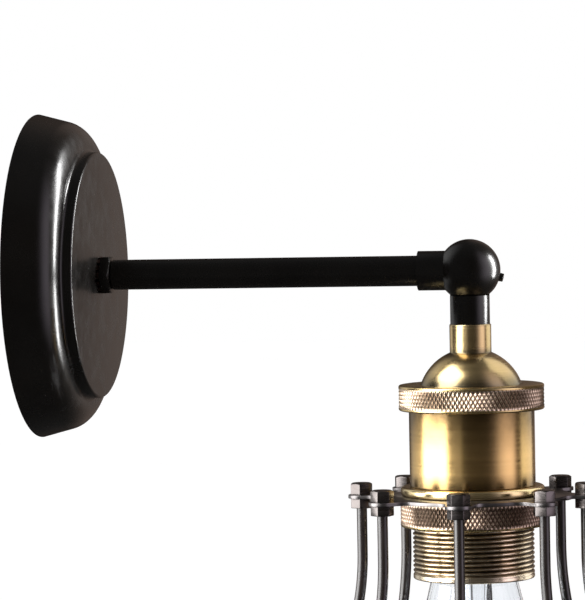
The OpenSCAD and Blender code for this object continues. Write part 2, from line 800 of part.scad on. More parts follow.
module dome_nut() {
    color("#9a9c9e") at_head() difference() {
        translate([0, 0, dome_flat - dome_nut_h]) hex_prism(dome_nut_af, dome_nut_h, 0.4);
        round_z(holder_nipple_d + 2 * fit, dome_flat - dome_nut_h - 1, dome_flat + 1);
    }
}

module holder_cap() {
    inner_r = dome_r - dome_wall;
    color("#a8894b") at_head() rotate_extrude() difference() {
        union() {
            translate([0, neck_end - 1]) square([neck_r, neck_l + 1]);
            intersection() {
                translate([0, dome_mid]) circle(r = dome_sphere_r);
                translate([0, ring_top]) square([dome_r + 1, neck_end - ring_top]);
            }
            translate([0, flange_end]) square([dome_r, ring_top - flange_end]);
            translate([0, flange_end]) square([barrel_r - 0.6, flange_t]);
        }
        intersection() {
            translate([0, dome_mid]) circle(r = dome_sphere_r - dome_wall);
            translate([0, ring_top]) square([inner_r, dome_flat - ring_top]);
        }
        translate([0, flange_end - 1]) square([inner_r, ring_top - flange_end + 1.01]);
        translate([0, neck_end - 5]) square([holder_nipple_d / 2 + fit, neck_l + 6]);
        translate([-big, -big]) square([big, 2 * big]);
    }
}

// Half section of a ring with rounded outer edges, from z0 up to z1.
module rounded_ring_section(outer_r, inner_r, z0, z1, r) {
    translate([inner_r, z0]) square([outer_r - r - inner_r, z1 - z0]);
    translate([inner_r, z0 + r]) square([outer_r - inner_r, z1 - z0 - 2 * r]);
    for (z = [z0 + r, z1 - r]) translate([outer_r - r, z]) circle(r = r);
}

module cap_ring() {
    color("#9b7f4a") at_head() rotate_extrude() difference() {
        rounded_ring_section(ring_r, dome_r + clear, ring_end, ring_top, 0.5);
        translate([0, ring_end - 1]) square([barrel_r + fit, cap_ring_h - cap_ring_lip + 1]);
    }
}

// Half section of the filled barrel: the plain part, then the thread with one groove to a pitch.
module barrel_section() {
    turns = floor(thread_l / thread_pitch) - 1;
    start = thread_top - 0.6;
    root_r = thread_r - thread_depth;
    groove = [for (i = [0:turns - 1]) let (z = start - i * thread_pitch) each [
        [thread_r, z - thread_pitch * 0.15],
        [root_r, z - thread_pitch * 0.5],
        [root_r, z - thread_pitch * 0.65],
        [thread_r, z - thread_pitch]]];
    plain = [[0, barrel_top], [barrel_r, barrel_top], [barrel_r, thread_top], [thread_r, thread_top]];
    polygon(concat(plain, groove, [[thread_r, mouth], [0, mouth]]));
}

module barrel() {
    color("#a8894b") at_head() rotate_extrude() difference() {
        barrel_section();
        translate([0, mouth + mouth_lip]) square([barrel_bore / 2, barrel_top - mouth]);
        translate([0, mouth - 1]) square([barrel_bore / 2 - 1.6, mouth_lip + 2]);
    }
}

module seat_ring() {
    color("#c9a24c") at_head() rotate_extrude()
        rounded_ring_section(seat_ring_d / 2, thread_r + fit, plate_top, thread_top, 1.1);
}

module shade_ring() {
    color("#9b7f4a") at_head() rotate_extrude()
        rounded_ring_section(ring_r, thread_r + fit, shade_ring_top - shade_ring_h, shade_ring_top, 0.5);
}

module porcelain_core() {
    wall = 2;
    color("#efeae0") at_head() difference() {
        round_z(2 * core_r, core_end, core_top);
        round_z(2 * (core_r - wall), core_floor, core_top + 1);
        round_z(core_bore, core_end - 1, core_block_end);
        round_z(4 + 2 * fit, core_block_end - 1, core_floor + 1);
        for (p = terminal_places()) translate([p[0], p[1], 0])
            round_z(terminal_screw_d + 2 * fit, core_floor - 8, core_floor + 1);
        shell_tab(clear);
    }
}

// Places of the live, neutral and earth screws on top of the core.
function terminal_places() = [[-terminal_r, 0], [terminal_r, 0], [0, terminal_r]];

// The strip that joins the screw shell to its terminal, thickened by o for its passage.
module shell_tab(o) {
    tab_x = shell_d / 2 - 1.4;
    translate([tab_x - strip_t - o, -strip_w / 2 - o, core_block_end - 0.5])
        cube([strip_t + 2 * o, strip_w + 2 * o, core_floor - core_block_end + 0.5 + strip_t * (o > 0 ? 2 : 1)]);
}

module screw_shell() {
    tab_x = shell_d / 2 - 1.4;
    shell_top = core_block_end - 0.05;
    color("#b87333") at_head() difference() {
        union() {
            ring_z(shell_d / 2, shell_d / 2 - shell_wall, core_end + 1.5, shell_top);
            ring_z(shell_d / 2, 9, shell_top - shell_wall, shell_top);
            shell_tab(0);
            translate([terminal_r - 4, -strip_w / 2, core_floor])
                cube([tab_x - terminal_r + 4, strip_w, strip_t]);
        }
        translate([terminal_r, 0, 0]) round_z(terminal_screw_d + 2 * fit, core_floor - 1, core_floor + 2);
    }
}

module centre_contact() {
    color("#c8a24a") at_head() difference() {
        union() {
            round_z(4, core_block_end, core_floor);
            translate([-terminal_r - 3.5, -strip_w / 2, core_floor]) cube([terminal_r + 6, strip_w, strip_t]);
            round_z(9, core_block_end - strip_t, core_block_end);
            round_z(7, bulb_tip + fit, core_block_end);
        }
        translate([-terminal_r, 0, 0]) round_z(terminal_screw_d + 2 * fit, core_floor - 1, core_floor + 2);
    }
}

module earth_strip() {
    strip_y = core_r - 2 - clear;
    color("#c8a24a") at_head() difference() {
        union() {
            translate([-strip_w / 2, terminal_r - 3.5, core_floor])
                cube([strip_w, strip_y - 1 - terminal_r + 3.5, strip_t]);
            translate([-strip_w / 2, strip_y - 1 - strip_t, core_floor])
                cube([strip_w, strip_t, flange_end - fit - core_floor]);
        }
        translate([0, terminal_r, 0]) round_z(terminal_screw_d + 2 * fit, core_floor - 1, core_floor + 2);
    }
}

module core_screws() {
    head_z = core_floor + strip_t;
    color("#c9c4ba") at_head() for (p = terminal_places()) translate([p[0], p[1], 0]) difference() {
        union() {
            round_z(terminal_screw_d, core_floor - 7, head_z + 0.1);
            round_z(5.6, head_z, head_z + 2);
        }
        translate([-4, -0.4, head_z + 1.2]) cube([8, 0.8, 2]);
    }
}

// A lead from the ball down the stem and the nipple to a terminal screw at place p.
module holder_lead(way, p, drop = 0) {
    stem = way[1];
    side = unit(p);
    end_r = terminal_r - 3.8;
    end_z = core_floor + strip_t;
    fan_z = holder_nipple_end - drop;
    at_head() lead([
        [stem[0], stem[1], lead_start_z],
        [stem[0], stem[1], neck_top + 4],
        [stem[0], stem[1], neck_end],
        [stem[0], stem[1], fan_z - 1],
        [side[0] * 4 + stem[0] / 3, side[1] * 3.2 + stem[1] * 0.9, fan_z - 4.5],
        [side[0] * (end_r + 0.4), side[1] * (end_r + 0.4), end_z + 4.2],
        [side[0] * end_r, side[1] * end_r, end_z + 1.2],
        [side[0] * end_r, side[1] * end_r, end_z + 0.08]]);
}

module holder_live_lead() {
    color("#6b4423") holder_lead(live_way, terminal_places()[0]);
}

module holder_neutral_lead() {
    color("#2f5f9e") holder_lead(neutral_way, terminal_places()[1]);
}

module holder_earth_lead() {
    color("#7f9a2e") holder_lead(earth_way, terminal_places()[2], 2);
}

// ---- Cage ----

// One tab of a plate, pointing along +X, with rounded corners where it meets a disc of radius disc.
module tab_2d(disc) {
    fillet_angle = asin((tab_r + tab_fillet_r) / (disc + tab_fillet_r));
    fillet_x = (disc + tab_fillet_r) * cos(fillet_angle);
    translate([bar_circle_r, 0]) circle(r = tab_r);
    translate([disc - 4, -tab_r]) square([bar_circle_r - disc + 4, 2 * tab_r]);
    for (s = [0, 1]) mirror([0, s]) difference() {
        polygon([[disc - 4, 0], [fillet_x, tab_r], [disc * cos(fillet_angle), disc * sin(fillet_angle)]]);
        translate([fillet_x, tab_r + tab_fillet_r]) circle(r = tab_fillet_r);
    }
}

module cage_plate() {
    color("#6f7479") at_head() translate([0, 0, plate_end]) linear_extrude(plate_t) difference() {
        union() {
            circle(r = plate_r);
            for (i = [0:bar_count - 1]) rotate(i * 360 / bar_count) tab_2d(plate_r);
        }
        circle(r = thread_r + clear);
        at_each_bar(bar_circle_r) circle(d = bar_d + 2 * clear);
    }
}

// A closed hexagonal nut that stands on z0 and takes the end of a bar.
module cap_nut(z0) {
    translate([0, 0, z0]) difference() {
        hex_prism(cage_nut_af, cap_nut_h, 0.5);
        translate([0, 0, -1]) cylinder(d = bar_d + 2 * fit, h = cap_nut_h);
    }
}

module lock_nut(z0) {
    translate([0, 0, z0]) difference() {
        rotate(30) cylinder(r = cage_nut_af / 2 / cos(30), h = lock_nut_h, $fn = 6);
        translate([0, 0, -1]) cylinder(d = bar_d + 2 * fit, h = lock_nut_h + 2);
    }
}

module cage_cap_nuts() {
    color("#4a4a4c") at_head() at_each_bar(bar_circle_r) cap_nut(plate_top);
}

module cage_lock_nuts() {
    color("#3f3e40") at_head() at_each_bar(bar_circle_r) lock_nut(nut_seat);
}

// Points of a bend of radius r round a place in the XZ plane, from angle a0 to a1 above +X.
function bend(mid_x, mid_z, r, a0, a1, steps) =
    [for (k = [1:steps]) let (a = a0 + (a1 - a0) * k / steps) [mid_x + r * cos(a), 0, mid_z + r * sin(a)]];

// The middle line of a cage bar in the plane of +X: straight down, out, round the belly and straight down.
function bar_line() = concat(
    [[bar_circle_r, 0, plate_top + cap_nut_h - 1.1], [bar_circle_r, 0, nut_seat],
        [bar_circle_r, 0, flare_top + 2], [bar_circle_r, 0, flare_top]],
    bend(bar_circle_r + flare_r, flare_top, flare_r, 180, 180 + flare_angle, 7),
    bend(belly_mid_r, belly_mid_z, belly_r, flare_angle, -foot_angle, 16),
    bend(foot_circle_r + foot_bend_r, foot_bend_mid_z, foot_bend_r, 180 - foot_angle, 180, 6),
    [[foot_circle_r, 0, foot_bend_mid_z - 1], [foot_circle_r, 0, foot_end - cap_nut_h + 1.1]]);

module cage_bar(i) {
    color("#332b29") at_head() rotate((i - 1) * 360 / bar_count)
        tube(bar_line(), bar_d, 12, [0, 1, 0]);
}

module bottom_ring() {
    color("#6f7479") at_head() translate([0, 0, foot_end]) linear_extrude(plate_t) difference() {
        circle(r = foot_ring_r);
        circle(r = foot_opening_r);
        at_each_bar(foot_circle_r) circle(d = bar_d + 2 * clear);
    }
}

module bottom_cap_nuts() {
    color("#4a4a4c") at_head() at_each_bar(foot_circle_r)
        translate([0, 0, foot_end]) mirror([0, 0, 1]) cap_nut(0);
}

module bottom_lock_nuts() {
    color("#3f3e40") at_head() at_each_bar(foot_circle_r) lock_nut(foot_top);
}

// ---- Bulb ----

// Half section of the bulb's filled outline, drawn in by o all round.
module bulb_region(o) {
    dz = mouth - bulb_mid;
    reach = norm([glass_neck_r, dz]);
    lean = atan2(glass_neck_r, dz) + acos(bulb_r / reach);
    wall_x = bulb_r * sin(lean);
    wall_z = bulb_mid + bulb_r * cos(lean);
    nx = sin(lean);
    nz = cos(lean);
    neck_in = bulb_thread_d / 2 - 1.6;
    translate([0, bulb_mid]) intersection() {
        circle(r = bulb_r - o);
        translate([0, -big]) square([big, big + bulb_r]);
    }
    polygon([
        [0, bulb_mid], [wall_x - o * nx, wall_z - o * nz], [glass_neck_r - o, mouth],
        [neck_in - o, bulb_cap_end], [neck_in - o, bulb_cap_end + 6 - o], [0, bulb_cap_end + 6 - o]]);
}

module bulb_glass() {
    color("#c9d3dc", 0.35) at_head() rotate_extrude() difference() {
        bulb_region(0);
        bulb_region(glass_t);
        translate([0, bulb_cap_end]) square([stem_seat_r + fit, 10]);
    }
}

module bulb_cap() {
    outer = bulb_thread_d / 2;
    inner = outer - 1.4;
    turns = floor((bulb_thread_top - bulb_cap_end) / bulb_pitch) - 1;
    first = bulb_thread_top - 1;
    color("#b9b6ae") at_head() rotate_extrude() difference() {
        polygon(concat(
            [[7, bulb_thread_top + 1.6], [outer - 2, bulb_thread_top], [outer, first]],
            [for (i = [0:turns - 1]) let (z = first - i * bulb_pitch) each [
                [outer, z - bulb_pitch * 0.3],
                [outer - bulb_thread_depth, z - bulb_pitch * 0.55],
                [outer - bulb_thread_depth, z - bulb_pitch * 0.7],
                [outer, z - bulb_pitch * 0.95]]],
            [[outer, bulb_cap_end], [inner, bulb_cap_end], [inner, first - 1], [7, bulb_thread_top]]));
    }
}

module bulb_insulator() {
    color("#1a1a1c") at_head() translate([0, 0, bulb_thread_top + 0.1]) difference() {
        cylinder(r1 = 6.9, r2 = 5, h = insulator_h - 0.1);
        translate([0, 0, -1]) cylinder(r = 1.5, h = insulator_h + 2);
    }
}

module bulb_tip_contact() {
    color("#b9b6ae") at_head() union() {
        round_z(9, bulb_tip - tip_h, bulb_tip - 0.4);
        translate([0, 0, bulb_tip - 0.4]) cylinder(d1 = 9, d2 = 6, h = 0.4);
        round_z(2.8, bulb_thread_top + 1, bulb_tip - tip_h + 0.2);
    }
}

module bulb_stem() {
    color("#c9d3dc", 0.5) at_head() difference() {
        union() {
            translate([0, 0, stem_flare_end]) cylinder(r1 = 2.8, r2 = 4.4, h = bulb_cap_end - stem_flare_end);
            round_z(2 * stem_seat_r, bulb_cap_end, stem_top);
            round_z(3, filament_end - 2, stem_flare_end + 1);
            for (z = [filament_top, filament_end]) round_z(2 * button_r, z - 1.2, z + 1.2);
        }
        filament_supports(filament_d + 2 * fit);
    }
}

// A thin round wire from a to b.
module wire(a, b, d) {
    v = b - a;
    translate(a) rotate([0, acos(v[2] / norm(v)), atan2(v[1], v[0])]) cylinder(d = d, h = norm(v), $fn = 16);
}

// A place at the filament's run i, at a distance r from the axis.
function run_place(i, r, z) = let (a = 360 * (i + 0.5) / filament_runs) [r * cos(a), r * sin(a), z];

// Wires of diameter d from the glass stem to the filament: one under each turn and one at each end.
module filament_supports(d) {
    turn_r = filament_r * cos(180 / filament_runs) + 0.6;
    for (i = [0:filament_runs - 2]) {
        z = i % 2 == 0 ? filament_end + filament_d + 0.02 : filament_top - filament_d - 0.02;
        wire(run_place(i + 0.5, button_r - 1, z), run_place(i + 0.5, turn_r, z), d);
    }
    for (i = [0, filament_runs - 1])
        wire(run_place(i, 2.1, stem_flare_end + 1.5), run_place(i, filament_r, filament_top + 0.45), d);
}

module bulb_wires() {
    color("#8a7a5c") at_head() filament_supports(filament_d);
}

// The same points with each corner cut off at a distance r.
function cut_corners(p, r) = concat([p[0]],
    [for (i = [1:len(p) - 2]) each [p[i] + r * unit(p[i - 1] - p[i]), p[i] + r * unit(p[i + 1] - p[i])]],
    [p[len(p) - 1]]);

module bulb_filament() {
    end_z = filament_top + filament_d / 2;
    corners = [for (i = [0:filament_runs - 1], k = [0, 1])
        run_place(i, filament_r, (i + k) % 2 == 0 ? filament_top : filament_end)];
    last = filament_runs - 1;
    inner = [for (i = [1:2 * filament_runs - 2]) corners[i]];
    ends = [run_place(0, filament_r, end_z), run_place(last, filament_r, end_z)];
    color("#d08a3a") at_head()
        tube(cut_corners(concat([ends[0]], inner, [ends[1]]), 0.8), filament_d, 8, [1, 0, 0]);
}

canopy();
wall_bracket();
wall_nipple();
bracket_lock_nut();
bracket_jam_nut();
star_washer();
canopy_nut();
earth_screw();
earth_tag();
terminal_block();
terminal_sleeves();
terminal_screws();
block_screw();
live_lead();
neutral_lead();
earth_lead();
arm_tube();
knuckle_arm_half();
knuckle_stem_half();
pivot_screw();
tilt_lock_screw();
holder_nipple();
dome_nut();
holder_cap();
cap_ring();
barrel();
seat_ring();
porcelain_core();
screw_shell();
centre_contact();
earth_strip();
core_screws();
holder_live_lead();
holder_neutral_lead();
holder_earth_lead();
cage_plate();
cage_cap_nuts();
cage_lock_nuts();
bottom_ring();
bottom_cap_nuts();
bottom_lock_nuts();
shade_ring();
bulb_glass();
bulb_cap();
bulb_insulator();
bulb_tip_contact();
bulb_stem();
bulb_wires();
bulb_filament();
for (i = [1:bar_count]) cage_bar(i);
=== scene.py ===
"""Looks of the cage wall light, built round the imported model: metres, +Z up, the arm along +X.

Outlines are drawn in millimetres, and mesh_of turns them into metres. Levels count up from the middle of
the ball.
"""

import json
import math

import bmesh
import bpy
from mathutils import Matrix, Vector


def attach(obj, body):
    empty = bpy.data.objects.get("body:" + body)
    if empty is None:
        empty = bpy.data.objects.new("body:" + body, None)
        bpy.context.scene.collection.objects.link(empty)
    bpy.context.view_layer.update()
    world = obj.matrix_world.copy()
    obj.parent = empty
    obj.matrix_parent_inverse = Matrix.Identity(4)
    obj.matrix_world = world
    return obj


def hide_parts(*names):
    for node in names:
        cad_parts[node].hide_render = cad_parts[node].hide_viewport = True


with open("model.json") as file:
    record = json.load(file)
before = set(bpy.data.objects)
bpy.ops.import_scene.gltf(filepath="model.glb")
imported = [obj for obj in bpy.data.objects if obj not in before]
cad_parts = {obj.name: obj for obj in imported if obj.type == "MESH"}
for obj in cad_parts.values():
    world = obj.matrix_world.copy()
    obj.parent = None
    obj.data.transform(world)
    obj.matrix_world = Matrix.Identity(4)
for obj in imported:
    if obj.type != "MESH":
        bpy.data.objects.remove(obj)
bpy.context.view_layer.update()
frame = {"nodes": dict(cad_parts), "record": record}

MM = 0.001
RECORD_BODIES = frame["record"]["behaviour"]["bodies"]
BODY_OF = {node: body for body, nodes in RECORD_BODIES.items() for node in nodes}
SLOT_OF = {part["node"]: part["material_slot"] for part in frame["record"]["subparts"]}

ARM = 144.0  # distance from the wall to the middle of the ball, where the head's axis runs

# Levels of the lamp holder and the cage.
NECK_TOP = -17.6
NECK_END = -26.9
RING_TOP = -37.3
RING_END = -45.7
THREAD_TOP = -70.6
PLATE_TOP = -73.6
PLATE_END = -74.8
SHADE_TOP = -74.85
SHADE_END = -83.75
MOUTH = -100.9


# ---------------------------------------------------------------- materials

# Sockets of the Mix node for colours, whose names are shared with those for numbers and vectors.
MIX_FACTOR = 0
MIX_A = 6
MIX_B = 7
MIX_RESULT = 2


def with_alpha(colour):
    """A colour as four numbers, or the output that gives it."""
    return colour if isinstance(colour, bpy.types.NodeSocket) else (*colour, 1.0)


class Graph:
    """Nodes put together one by one, for a material or the world."""

    def __init__(self, tree):
        self.nodes = tree.nodes
        self.links = tree.links

    def node(self, kind, inputs=(), **settings):
        """A node whose inputs are numbers, colours or the outputs of other nodes."""
        made = self.nodes.new("ShaderNode" + kind)
        for key, value in settings.items():
            setattr(made, key, value)
        for socket, value in dict(inputs).items():
            if isinstance(value, bpy.types.NodeSocket):
                self.links.new(value, made.inputs[socket])
            else:
                made.inputs[socket].default_value = value
        return made

    def maths(self, operation, a, b=0.0):
        """A sum, a product or another function of one or two numbers."""
        return self.node("Math", {0: a, 1: b}, operation=operation).outputs[0]

    def along(self, vector, direction):
        """How far a vector reaches along a direction."""
        inputs = {0: vector, 1: direction}
        return self.node("VectorMath", inputs, operation="DOT_PRODUCT").outputs["Value"]

    def ranged(self, value, low, high, from_low=0.3, from_high=0.7):
        """A value between two limits moved to between two others."""
        inputs = {"Value": value, "From Min": from_low, "From Max": from_high, "To Min": low, "To Max": high}
        return self.node("MapRange", inputs).outputs[0]

    def ramp(self, value, *stops):
        """Colours by value. Each stop is (value, colour)."""
        ramp = self.node("ValToRGB", {"Fac": value})
        points = ramp.color_ramp.elements
        for point, (place, colour) in zip((points[0], points[1]), (stops[0], stops[-1])):
            point.position = place
            point.color = (*colour, 1.0)
        for place, colour in stops[1:-1]:
            points.new(place).color = (*colour, 1.0)
        return ramp.outputs["Color"]

    def mix(self, factor, a, b):
        """Colour a at a factor of 0, colour b at 1."""
        inputs = {MIX_FACTOR: factor, MIX_A: with_alpha(a), MIX_B: with_alpha(b)}
        return self.node("Mix", inputs, data_type="RGBA").outputs[MIX_RESULT]


class Look(Graph):
    """A procedural material round one Principled shader."""

    def __init__(self, name, **values):
        self.material = bpy.data.materials.new(name)
        self.material.use_nodes = True
        super().__init__(self.material.node_tree)
        self.shader = self.nodes["Principled BSDF"]
        for socket, value in values.items():
            self.shader.inputs[socket.replace("_", " ")].default_value = value
        self.place = self.nodes.new("ShaderNodeTexCoord").outputs["Object"]

    def stretched(self, x, y, z):
        """Object coordinates multiplied by one number along each axis."""
        return self.node("Mapping", {"Vector": self.place, "Scale": (x, y, z)}).outputs[0]

    def noise(self, scale, detail, vector=None, roughness=0.55):
        """Cloudy values round a half, in object coordinates unless a vector is given."""
        inputs = {"Vector": vector or self.place, "Scale": scale, "Detail": detail, "Roughness": roughness}
        return self.node("TexNoise", inputs).outputs["Fac"]

    def near(self, level, reach, most):
        """A share that is greatest at a level and 0 at a distance from it."""
        height = self.along(self.place, (0, 0, 1))
        away = self.maths("ABSOLUTE", self.maths("SUBTRACT", height, level * MM))
        return self.ranged(away, most, 0.0, 0.0, reach * MM)

    def attribute(self, name):
        """A value that the mesh holds at each point."""
        return self.node("Attribute", attribute_name=name).outputs["Fac"]

    def set(self, socket, value):
        """Links a value to one of the shader's inputs."""
        self.links.new(value, self.shader.inputs[socket])

    def bump(self, height, strength, distance):
        """Fine relief that is too small for the mesh."""
        inputs = {"Height": height, "Strength": strength, "Distance": distance}
        self.set("Normal", self.node("Bump", inputs).outputs[0])


def painted(name, dark, light, rough, peel, index):
    """Baked satin lacquer: a faint mottle, uneven gloss and a fine orange peel."""
    look = Look(name, Metallic=0.0, IOR=index)
    look.set("Base Color", look.ramp(look.noise(scale=55, detail=4), (0.32, dark), (0.68, light)))
    look.set("Roughness", look.ranged(look.noise(scale=180, detail=5), rough - 0.04, rough + 0.05))
    look.bump(look.noise(scale=900, detail=3), peel, distance=0.0002)
    return look.material


def brushed(name, dark, light, rough, lines, spread=0.05, shade_and_tone=None, corners=()):
    """Metal with fine lines: lines holds the stretch of the pattern along each axis.

    Near given levels a second colour is blended in, in patches: painted shade on the barrel next to its
    rings, and a grey tone at the dome's corners. Each corner is given by its level, its reach and its
    greatest share.
    """
    look = Look(name, Metallic=1.0)
    line = look.noise(scale=1.0, detail=4, vector=look.stretched(*lines), roughness=0.6)
    cloud = look.noise(scale=42, detail=4)
    clouded = look.ramp(cloud, (0.3, dark), (0.7, light))
    lined = look.ramp(line, (0.3, dark), (0.7, light))
    line_share = 0.35
    colour = look.mix(line_share, clouded, lined)
    # Blends in the corner colour: painted shade on the barrel, a grey tone on the dome.
    for level, reach, most in corners:
        patches = look.ranged(look.noise(scale=130, detail=4), 0.65, 1.0)
        colour = look.mix(look.maths("MULTIPLY", look.near(level, reach, most), patches), colour, shade_and_tone)
    look.set("Base Color", colour)
    look.set("Roughness", look.ranged(line, rough - spread, rough + spread))
    look.bump(line, strength=0.12, distance=0.00005)
    return look.material


def by_height(name, root, middle, crest, rough):
    """Metal whose colour follows its relief: painted shade makes it dark in the grooves and a painted
    highlight makes it bright on the crests.
    """
    look = Look(name, Metallic=1.0)
    height = look.attribute("relief")
    cloud = look.ranged(look.noise(scale=260, detail=4), -0.12, 0.12)
    clouded = look.maths("ADD", height, cloud)
    look.set("Base Color", look.ramp(clouded, (0.05, root), (0.5, middle), (0.95, crest)))
    look.set("Roughness", look.ranged(height, rough + 0.18, rough, from_low=0.1, from_high=0.9))
    look.bump(look.noise(scale=3000, detail=2), strength=0.08, distance=0.00005)
    return look.material


def plastic(name, dark, light, rough, grain=0.06, grain_scale=700):
    """Moulded plastic, insulation or glaze: a faint mottle and a fine grain."""
    look = Look(name, Metallic=0.0)
    look.set("Base Color", look.ramp(look.noise(scale=90, detail=4), (0.3, dark), (0.7, light)))
    look.set("Roughness", look.ranged(look.noise(scale=240, detail=4), rough - 0.05, rough + 0.06))
    look.bump(look.noise(grain_scale, detail=3), grain, distance=0.0002)
    return look.material


def striped(name, ground, stripe):
    """Lead insulation with slanted stripes."""
    look = Look(name, Metallic=0.0, Roughness=0.4)
    inputs = {"Vector": look.place, "Scale": 210.0, "Distortion": 0.6}
    bands = look.node("TexWave", inputs, bands_direction="DIAGONAL").outputs["Fac"]
    look.set("Base Color", look.ramp(bands, (0.46, ground), (0.54, stripe)))
    look.bump(look.noise(scale=700, detail=3), strength=0.06, distance=0.0002)
    return look.material


def glass(name, dark, light):
    """Blown glass: clear, with a slow unevenness."""
    look = Look(name, Roughness=0.0, IOR=1.47, Transmission_Weight=1.0)
    look.set("Base Color", look.ramp(look.noise(scale=30, detail=2), (0.3, dark), (0.7, light)))
    look.bump(look.noise(scale=18, detail=1), strength=0.05, distance=0.0006)
    return look.material


LATHE_LINES = (30, 30, 1500)  # fine lines round the head's axis, as turning leaves them
CAP_LINES = (30, 30, 1200)
WIRE_LINES = (300, 300, 300)
# Painted shade: a brown darkening of the barrel next to the cap ring and the seat ring, where their shade and
# reflections fall.
PAINTED_RING_SHADE = (0.035, 0.024, 0.016)
# A grey tone blended into the dome towards the neck's ends and its foot by the cap ring.
GREY_CORNER_TONE = (0.09, 0.09, 0.075)
# Where the barrel's painted shade lies: up to 14 mm below the cap ring and 5.2 mm above the seat ring.
BARREL_SHADE_BANDS = ((RING_END, 14.0, 0.95), (THREAD_TOP, 5.2, 0.95))
DOME_CORNERS = ((NECK_TOP, 1.0, 0.5), (NECK_END, 2.0, 0.8), (RING_TOP, 4.5, 0.9))

# Each look: the material's name, its colours from dark to light, and what its kind of surface needs besides.
LOOKS = {
    "black_paint": painted(
        "satin_black", (0.0038, 0.0029, 0.0022), (0.0066, 0.0053, 0.0042), 0.25, peel=0.03, index=1.47),
    "zinc_steel": brushed("zinc_steel", (0.42, 0.43, 0.44), (0.62, 0.63, 0.63), 0.34, (900, 60, 60)),
    "plain_brass": brushed("turned_brass", (0.50, 0.33, 0.12), (0.72, 0.52, 0.22), 0.26, (1500, 40, 40)),
    "tinned_copper": brushed("tinned_copper", (0.55, 0.52, 0.47), (0.75, 0.73, 0.69), 0.30, (60, 900, 60)),
    "terminal_plastic": plastic("terminal_plastic", (0.62, 0.59, 0.50), (0.74, 0.71, 0.62), 0.42),
    "brown_insulation": plastic("brown_insulation", (0.055, 0.020, 0.008), (0.085, 0.034, 0.014), 0.38),
    "blue_insulation": plastic("blue_insulation", (0.012, 0.055, 0.22), (0.02, 0.085, 0.30), 0.38),
    # The antique brass carries the painted shade next to the barrel's rings.
    "antique_brass": brushed(
        "antique_brass", (0.61, 0.39, 0.145), (0.77, 0.52, 0.215), 0.22, LATHE_LINES, 0.04,
        PAINTED_RING_SHADE, BARREL_SHADE_BANDS),
    "dome_brass": brushed(
        "dome_brass", (0.52, 0.38, 0.17), (0.70, 0.52, 0.26), 0.24, LATHE_LINES, 0.04,
        GREY_CORNER_TONE, DOME_CORNERS),
    "aged_copper": brushed(
        "aged_copper", (0.060, 0.032, 0.024), (0.20, 0.11, 0.085), 0.34, (500, 500, 500), 0.08),
    "seat_brass": brushed("seat_brass", (0.80, 0.62, 0.31), (0.95, 0.77, 0.43), 0.20, LATHE_LINES, 0.04),
    # The knurl and thread looks paint shade into their grooves and a highlight onto their crests.
    "knurled_brass": by_height(
        "knurled_brass", (0.055, 0.035, 0.022), (0.50, 0.37, 0.26), (0.95, 0.79, 0.60), 0.24),
    # A darker copy for the shade ring: painted shade under the cage plate.
    "shaded_knurl": by_height(
        "shaded_knurl", (0.050, 0.032, 0.022), (0.30, 0.21, 0.15), (0.66, 0.52, 0.40), 0.26),
    "lip_brass": brushed("lip_brass", (0.62, 0.46, 0.20), (0.80, 0.62, 0.32), 0.22, LATHE_LINES, 0.04),
    "thread_brass": by_height(
        "thread_brass", (0.030, 0.020, 0.012), (0.36, 0.28, 0.18), (0.92, 0.78, 0.58), 0.22),
    "porcelain": plastic("porcelain", (0.70, 0.68, 0.62), (0.80, 0.78, 0.73), 0.14, 0.04, 300),
    "copper_shell": brushed("copper_shell", (0.55, 0.25, 0.13), (0.74, 0.38, 0.22), 0.28, CAP_LINES),
    "grey_plate": brushed(
        "grey_plate", (0.15, 0.14, 0.138), (0.25, 0.235, 0.232), 0.34, (260, 700, 60), 0.06),
    "dark_nut": brushed("dark_nut", (0.10, 0.088, 0.084), (0.19, 0.172, 0.166), 0.28, (120, 120, 900), 0.06),
    "dark_bronze_bar": painted(
        "dark_bronze_bar", (0.013, 0.0085, 0.0075), (0.021, 0.014, 0.012), 0.28, peel=0.02, index=1.7),
    "clear_glass": glass("clear_glass", (0.93, 0.95, 0.975), (0.955, 0.965, 0.98)),
    "bulb_cap_metal": brushed("nickel", (0.55, 0.54, 0.50), (0.72, 0.70, 0.66), 0.24, CAP_LINES),
    "black_glass": plastic("black_glass", (0.010, 0.010, 0.012), (0.018, 0.018, 0.021), 0.12, 0.03, 300),
    "support_wire": brushed("support_wire", (0.36, 0.31, 0.24), (0.55, 0.50, 0.42), 0.36, WIRE_LINES),
    "filament_wire": brushed("filament_wire", (0.40, 0.16, 0.05), (0.62, 0.30, 0.11), 0.42, WIRE_LINES),
    "green_yellow_insulation": striped("green_yellow_insulation", (0.03, 0.16, 0.03), (0.62, 0.55, 0.04)),
}


# ---------------------------------------------------------------- mesh helpers

SHARP = 32  # an edge that turns by more degrees than this stays sharp
MADE = []  # each finished piece with the CAD node it stands for


def add_mesh(name, mesh, node, material, sharp=SHARP):
    """Puts a mesh in the scene in place of a CAD node, smooth but for its sharp edges."""
    mesh.shade_smooth()
    mesh.set_sharp_from_angle(angle=math.radians(sharp))
    mesh.materials.clear()
    mesh.materials.append(material)
    made = bpy.data.objects.new(name, mesh)
    bpy.context.collection.objects.link(made)
    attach(made, BODY_OF[node])
    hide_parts(node)
    MADE.append((node, made))
    return made


def mesh_of(name, points, faces, joined=True):
    """A mesh from points in millimetres, its faces turned outward. joined makes its doubled points one."""
    same_place = 1e-7
    no_length = 1e-8
    mesh = bpy.data.meshes.new(name)
    mesh.from_pydata([Vector(point) * MM for point in points], [], faces)
    bm = bmesh.new()
    bm.from_mesh(mesh)
    if joined:
        bmesh.ops.remove_doubles(bm, verts=bm.verts, dist=same_place)
        bmesh.ops.dissolve_degenerate(bm, edges=bm.edges, dist=no_length)
    bmesh.ops.recalc_face_normals(bm, faces=bm.faces)
    bm.to_mesh(mesh)
    bm.free()
    return mesh


